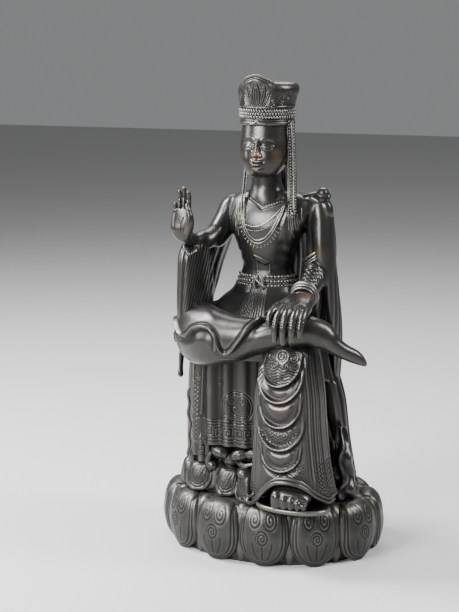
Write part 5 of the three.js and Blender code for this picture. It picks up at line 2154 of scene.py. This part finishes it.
@dataclass
class Wraps(Part):
    """The wide right sleeve, the mantle down the back, and the knot on the shoulder.

    Attributes:
        sleeve_front: The stations of the sleeve's front.
        sleeve_rear: The stations of its rear.
        mantle_stations: The stations of the mantle.
    """

    sleeve_front: Stations = (
        (-63.5, -46, 172, 11.5, 29), (-63.5, -46, 190, 11.5, 30.5), (-63.5, -45, 215, 11.5, 30.5),
        (-63, -44, 238, 11, 30), (-62, -41, 250, 9.5, 26), (-61, -38, 255, 6, 19),
    )
    sleeve_rear: Stations = (
        (-62, -24, 190, 5, 12), (-59, -16, 222, 6, 20), (-54, -9, 246, 7, 22), (-49, -7, 264, 7, 14),
    )
    mantle_stations: Stations = (
        (2, 20, 0, 79, 34), (1, 19, 12, 78, 33), (0, 17, 50, 73, 31), (0, 17, 90, 68, 29),
        (0, 16, 122, 60, 27), (2, 16, 160, 51, 23), (14, 15, 200, 41, 17), (16, 13, 240, 43, 14),
        (9, 10, 274, 47, 13), (4, 7, 289, 43, 12), (-2, 5, 297, 24, 10),
    )

    def sleeve(self) -> None:
        """Makes the right sleeve: broad pleats outside, fine ones towards the body, and its mouth."""

        def carve(degrees: Array, share: Array, places: Array) -> Array:
            """The sleeve's pleats and the dark mouth under the wrist.

            Args:
                degrees: The corners' angles round the body.
                share: How far along the body each ring stands.
                places: The corners' places.

            Returns:
                What is added to the radius.
            """
            x, y, z = places[..., 0], places[..., 1], places[..., 2]
            down = smooth(1.0, 0.7, share)
            outside = smooth(110, 160, np.abs(degrees))
            broad = np.cos((9 + 4 * (degrees > 0)) * np.radians(degrees) + 1.4 * share)
            broad = broad * (0.35 + 1.3 * outside)
            front = bump(degrees, -90, 40) * np.ones_like(z)
            pleat = 1.2 * bump(x, -71 + 0.02 * (z - 172), 3.2) - 0.9 * bump(x, -66 + 0.05 * (z - 172), 1.5)
            fine = 0.22 * np.cos((x + 0.35 * y - 0.2 * (z - 172)) * 2 * np.pi / 2.4) * smooth(-65, -62, x)
            edge = np.where(x < -58, -58 - x, (x + 58) * 0.78) - (z - 242)
            mouth = front * smooth(0.5, -3.5, edge) * (z > 236)
            lip = 1.3 * front * bump(edge, 1.6, 1.3) * (z > 232)
            return down * ((1 - front) * broad + front * pleat + fine) + lip - 6.5 * mouth

        front = Loft(self.sleeve_front, step=0.7, level=True, power=2.6, carve=carve).build()

        def rear_folds(degrees: Array, share: Array, places: Array) -> Array:
            """The rear's narrow folds."""
            return 0.8 * np.cos(9 * np.radians(degrees)) * smooth(0, 0.2, share)

        rear = Loft(self.sleeve_rear, step=0.9, level=True, power=2.6, carve=rear_folds).build()
        tail = Loft([(-76, -55, 116.5, 1.2, 1.6), (-76, -55, 118.5, 2.6, 3.8), (-76, -55, 122, 2.4, 3.6),
                     (-76, -54, 128, 1.9, 3.2), (-75.4, -53, 140, 2.4, 4.6), (-72, -50, 160, 3, 5)],
                    step=0.6, level=True).build()
        self.shop.finish("right_sleeve", [front, rear, tail], Bronze.ROBE)

    def mantle(self) -> None:
        """Makes the mantle that falls behind the arms to the plinth."""

        def carve(degrees: Array, share: Array, places: Array) -> Array:
            """Long folds that open downward, swags, a bordered hem, and the slot under the arm's fold.

            Args:
                degrees: The corners' angles round the body.
                share: How far along the body each ring stands.
                places: The corners' places.

            Returns:
                What is added to the radius.
            """
            x, y, z = places[..., 0], places[..., 1], places[..., 2]
            turn = np.radians(degrees)
            fall = 1 - share
            folds = 1.9 * np.cos(19 * turn + 0.9 * np.sin(4 * turn)) + 0.7 * np.cos(47 * turn + 2 * share)
            swags = np.zeros_like(z)
            behind = band(degrees, 20, 60, 120, 160) * np.ones_like(z)
            for low, half_width, rise in ((262, 34, 26), (244, 32, 34), (222, 30, 40), (196, 27, 42)):
                swags = np.maximum(swags, drawn(x, z, swag(12, low, half_width, rise), 2.6))
            hem = bump(z, 3, 2) - 0.6 * (bump(z, 8, 0.8) + bump(z, 11, 0.8))
            open_folds = folds * smooth(-0.05, 0.5, fall) * (1 - behind * smooth(170, 230, z))
            calm = 1 - 0.55 * bump(degrees, -25, 40)
            gap = np.array([(56, 109), (57.6, 98), (60, 83), (63.4, 68), (67, 54)])
            slot = drawn(x, z, gap, 1.75) * (y < 12)
            side = drawn(x, z, gap + [5.4, 0], 1.6) * (y < 12)
            raised = 2.2 * behind * swags + hem + 1.6 * side
            return open_folds * (0.45 + 0.55 * fall) * calm + raised - 10 * slot

        loft = Loft(self.mantle_stations, step=1.25, level=True, power=2.6, carve=carve)
        self.shop.finish("mantle", [loft.build()], Bronze.ROBE, limit=58_000)

    def knot(self) -> None:
        """Makes the knot of cloth on the left shoulder."""
        parts = [bead((50.5, 0, 296.4), (6.4, 6.4, 6.2)), bead((46, 0, 289), (14, 10, 7.5), 0.45),
                 cord([(14, -3, 284), (28, -2, 288), (40, -1, 291.4), (50, 1, 292.6), (56, 3, 289)], 6.4),
                 cord([(51, -2, 290), (55, -3, 283), (57, -2, 270)], 6.4, taper=0.5)]

        def creases(points: Array, normals: Array) -> Array:
            """The cloth's creases, drawn together at the knot."""
            x, z = points[:, 0] - 50, points[:, 2] - 296
            return 0.12 * np.cos(3.5 * np.arctan2(z, x) + 0.25 * np.hypot(x, z)) * (x < -2)

        mesh = self.shop.fused("shoulder_knot", parts, 0.6, 6)
        self.shop.finish("shoulder_knot", mesh, Bronze.ROBE, relief=creases)

    def build(self) -> None:
        """Makes the sleeve, the mantle and the knot."""
        self.sleeve()
        self.mantle()
        self.knot()


@dataclass
class Studio:
    """The camera at the photograph's place, a pale floor and soft lights.

    Attributes:
        place: The camera's place, in metres.
        heading: How far it is turned to the left of straight ahead, in degrees.
        pitch: How far it looks down, in degrees.
        lens: Its focal length in millimetres for a 36 mm long side.
        floor_size: The floor's width, in metres.
        floor_color: The floor's colour.
        air_color: The colour of the light from all round.
        air_strength: Its strength.
        aim: What the lights face, in metres.
        lamps: Each light's name, place, width and height in metres, and power in watts.
    """

    place: Station = (0.5017, -1.3070, 0.500)
    heading: float = 22.78
    pitch: float = 10.55
    lens: float = 84.8
    floor_size: float = 12.0
    floor_color: Station = (0.50, 0.50, 0.495, 1)
    air_color: Station = (0.80, 0.81, 0.82, 1)
    air_strength: float = 0.28
    aim: Station = (0, 0, 0.27)
    lamps: Sequence[tuple[str, Station, Station, float]] = (
        ("key", (-0.55, -1.2, 1.0), (0.42, 0.5), 34), ("top", (-0.84, -0.2, 1.19), (0.46, 0.46), 40),
        ("front", (-0.3, -1.45, 0.62), (0.45, 0.42), 14), ("fill", (1.02, 0.08, 1.16), (0.3, 0.7), 24),
        ("back", (-0.3, 0.75, 1.3), (0.9, 0.6), 14), ("rim", (-1.2, -0.42, 0.75), (0.4, 0.8), 13),
    )

    def camera(self) -> None:
        """Sets up the camera."""
        data = bpy.data.cameras.new("camera")
        data.lens = self.lens
        data.sensor_width = 36.0
        data.clip_end = 50
        camera = bpy.data.objects.new("camera", data)
        camera.location = self.place
        camera.rotation_euler = (math.radians(90 - self.pitch), 0, math.radians(self.heading))
        bpy.context.scene.collection.objects.link(camera)
        bpy.context.scene.camera = camera

    def light(self, name: str, place: Station, size: Station, power: float) -> None:
        """Adds a soft box that faces the figure.

        Args:
            name: The light's name.
            place: Its place, in metres.
            size: Its width and height.
            power: Its power in watts.
        """
        data = bpy.data.lights.new(name, "AREA")
        data.shape = "RECTANGLE"
        data.size, data.size_y = size
        data.energy = power
        lamp = bpy.data.objects.new(name, data)
        lamp.location = place
        aim = np.array(self.aim) - np.asarray(place, float)
        heading = math.atan2(aim[0], -aim[1])
        lamp.rotation_euler = (math.acos(-aim[2] / np.linalg.norm(aim)), 0, heading + math.pi)
        bpy.context.scene.collection.objects.link(lamp)

    def floor(self) -> None:
        """Lays the pale floor."""
        half = self.floor_size / 2
        mesh = bpy.data.meshes.new("floor")
        corners = [(-half, -half, 0), (half, -half, 0), (half, half, 0), (-half, half, 0)]
        mesh.from_pydata(corners, [], [(0, 1, 2, 3)])
        floor = bpy.data.objects.new("floor", mesh)
        bpy.context.scene.collection.objects.link(floor)
        material = bpy.data.materials.new("pale_floor")
        material.use_nodes = True
        shader = material.node_tree.nodes["Principled BSDF"]
        shader.inputs["Base Color"].default_value = self.floor_color
        shader.inputs["Roughness"].default_value = 0.9
        mesh.materials.append(material)

    def world(self) -> None:
        """Sets the soft light from all round."""
        world = bpy.data.worlds.new("studio")
        world.use_nodes = True
        background = world.node_tree.nodes["Background"]
        background.inputs["Color"].default_value = self.air_color
        background.inputs["Strength"].default_value = self.air_strength
        bpy.context.scene.world = world

    def build(self) -> None:
        """Sets up everything round the figure."""
        self.camera()
        self.floor()
        self.world()
        for lamp in self.lamps:
            self.light(*lamp)


def main() -> None:
    """Builds the studio and every piece in order."""
    logging.basicConfig(level=logging.INFO, format="%(message)s")
    low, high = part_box(FIGURE_NODE)
    shop = Workshop(unit=(high.z - low.z) / UNITS_TALL, floor=low.z)
    shop.rubs = [
        Rub((-6, -37, 333), 9, 0.55), Rub((10, -24, 334), 9, 0.45), Rub((-20, -24, 332), 8, 0.6),
        Rub((43, -95, 111), 12, 0.4), Rub((-17, -97, 165), 7, 0.4), Rub((-56, -78, 270), 9, 0.3),
        Rub((58, -68, 205), 10, 0.6), Rub((-76, -60, 176), 9, 0.3), Rub((52, -10, 240), 12, 0.3),
        Rub((-48, -55, 105), 8, 0.15),
    ]
    Studio().build()
    for kind in (LotusPlinth, Robe, LeftFoot, Lap, UpperBody, Belt, Head, Crown, Strands, Hands, Wraps):
        kind(shop).build()
        log.info("built %s", kind.__name__)
    total = sum(triangles(piece.data) for piece in shop.pieces)
    log.info("%d pieces, %d triangles", len(shop.pieces), total)


if __name__ == "__main__":
    main()
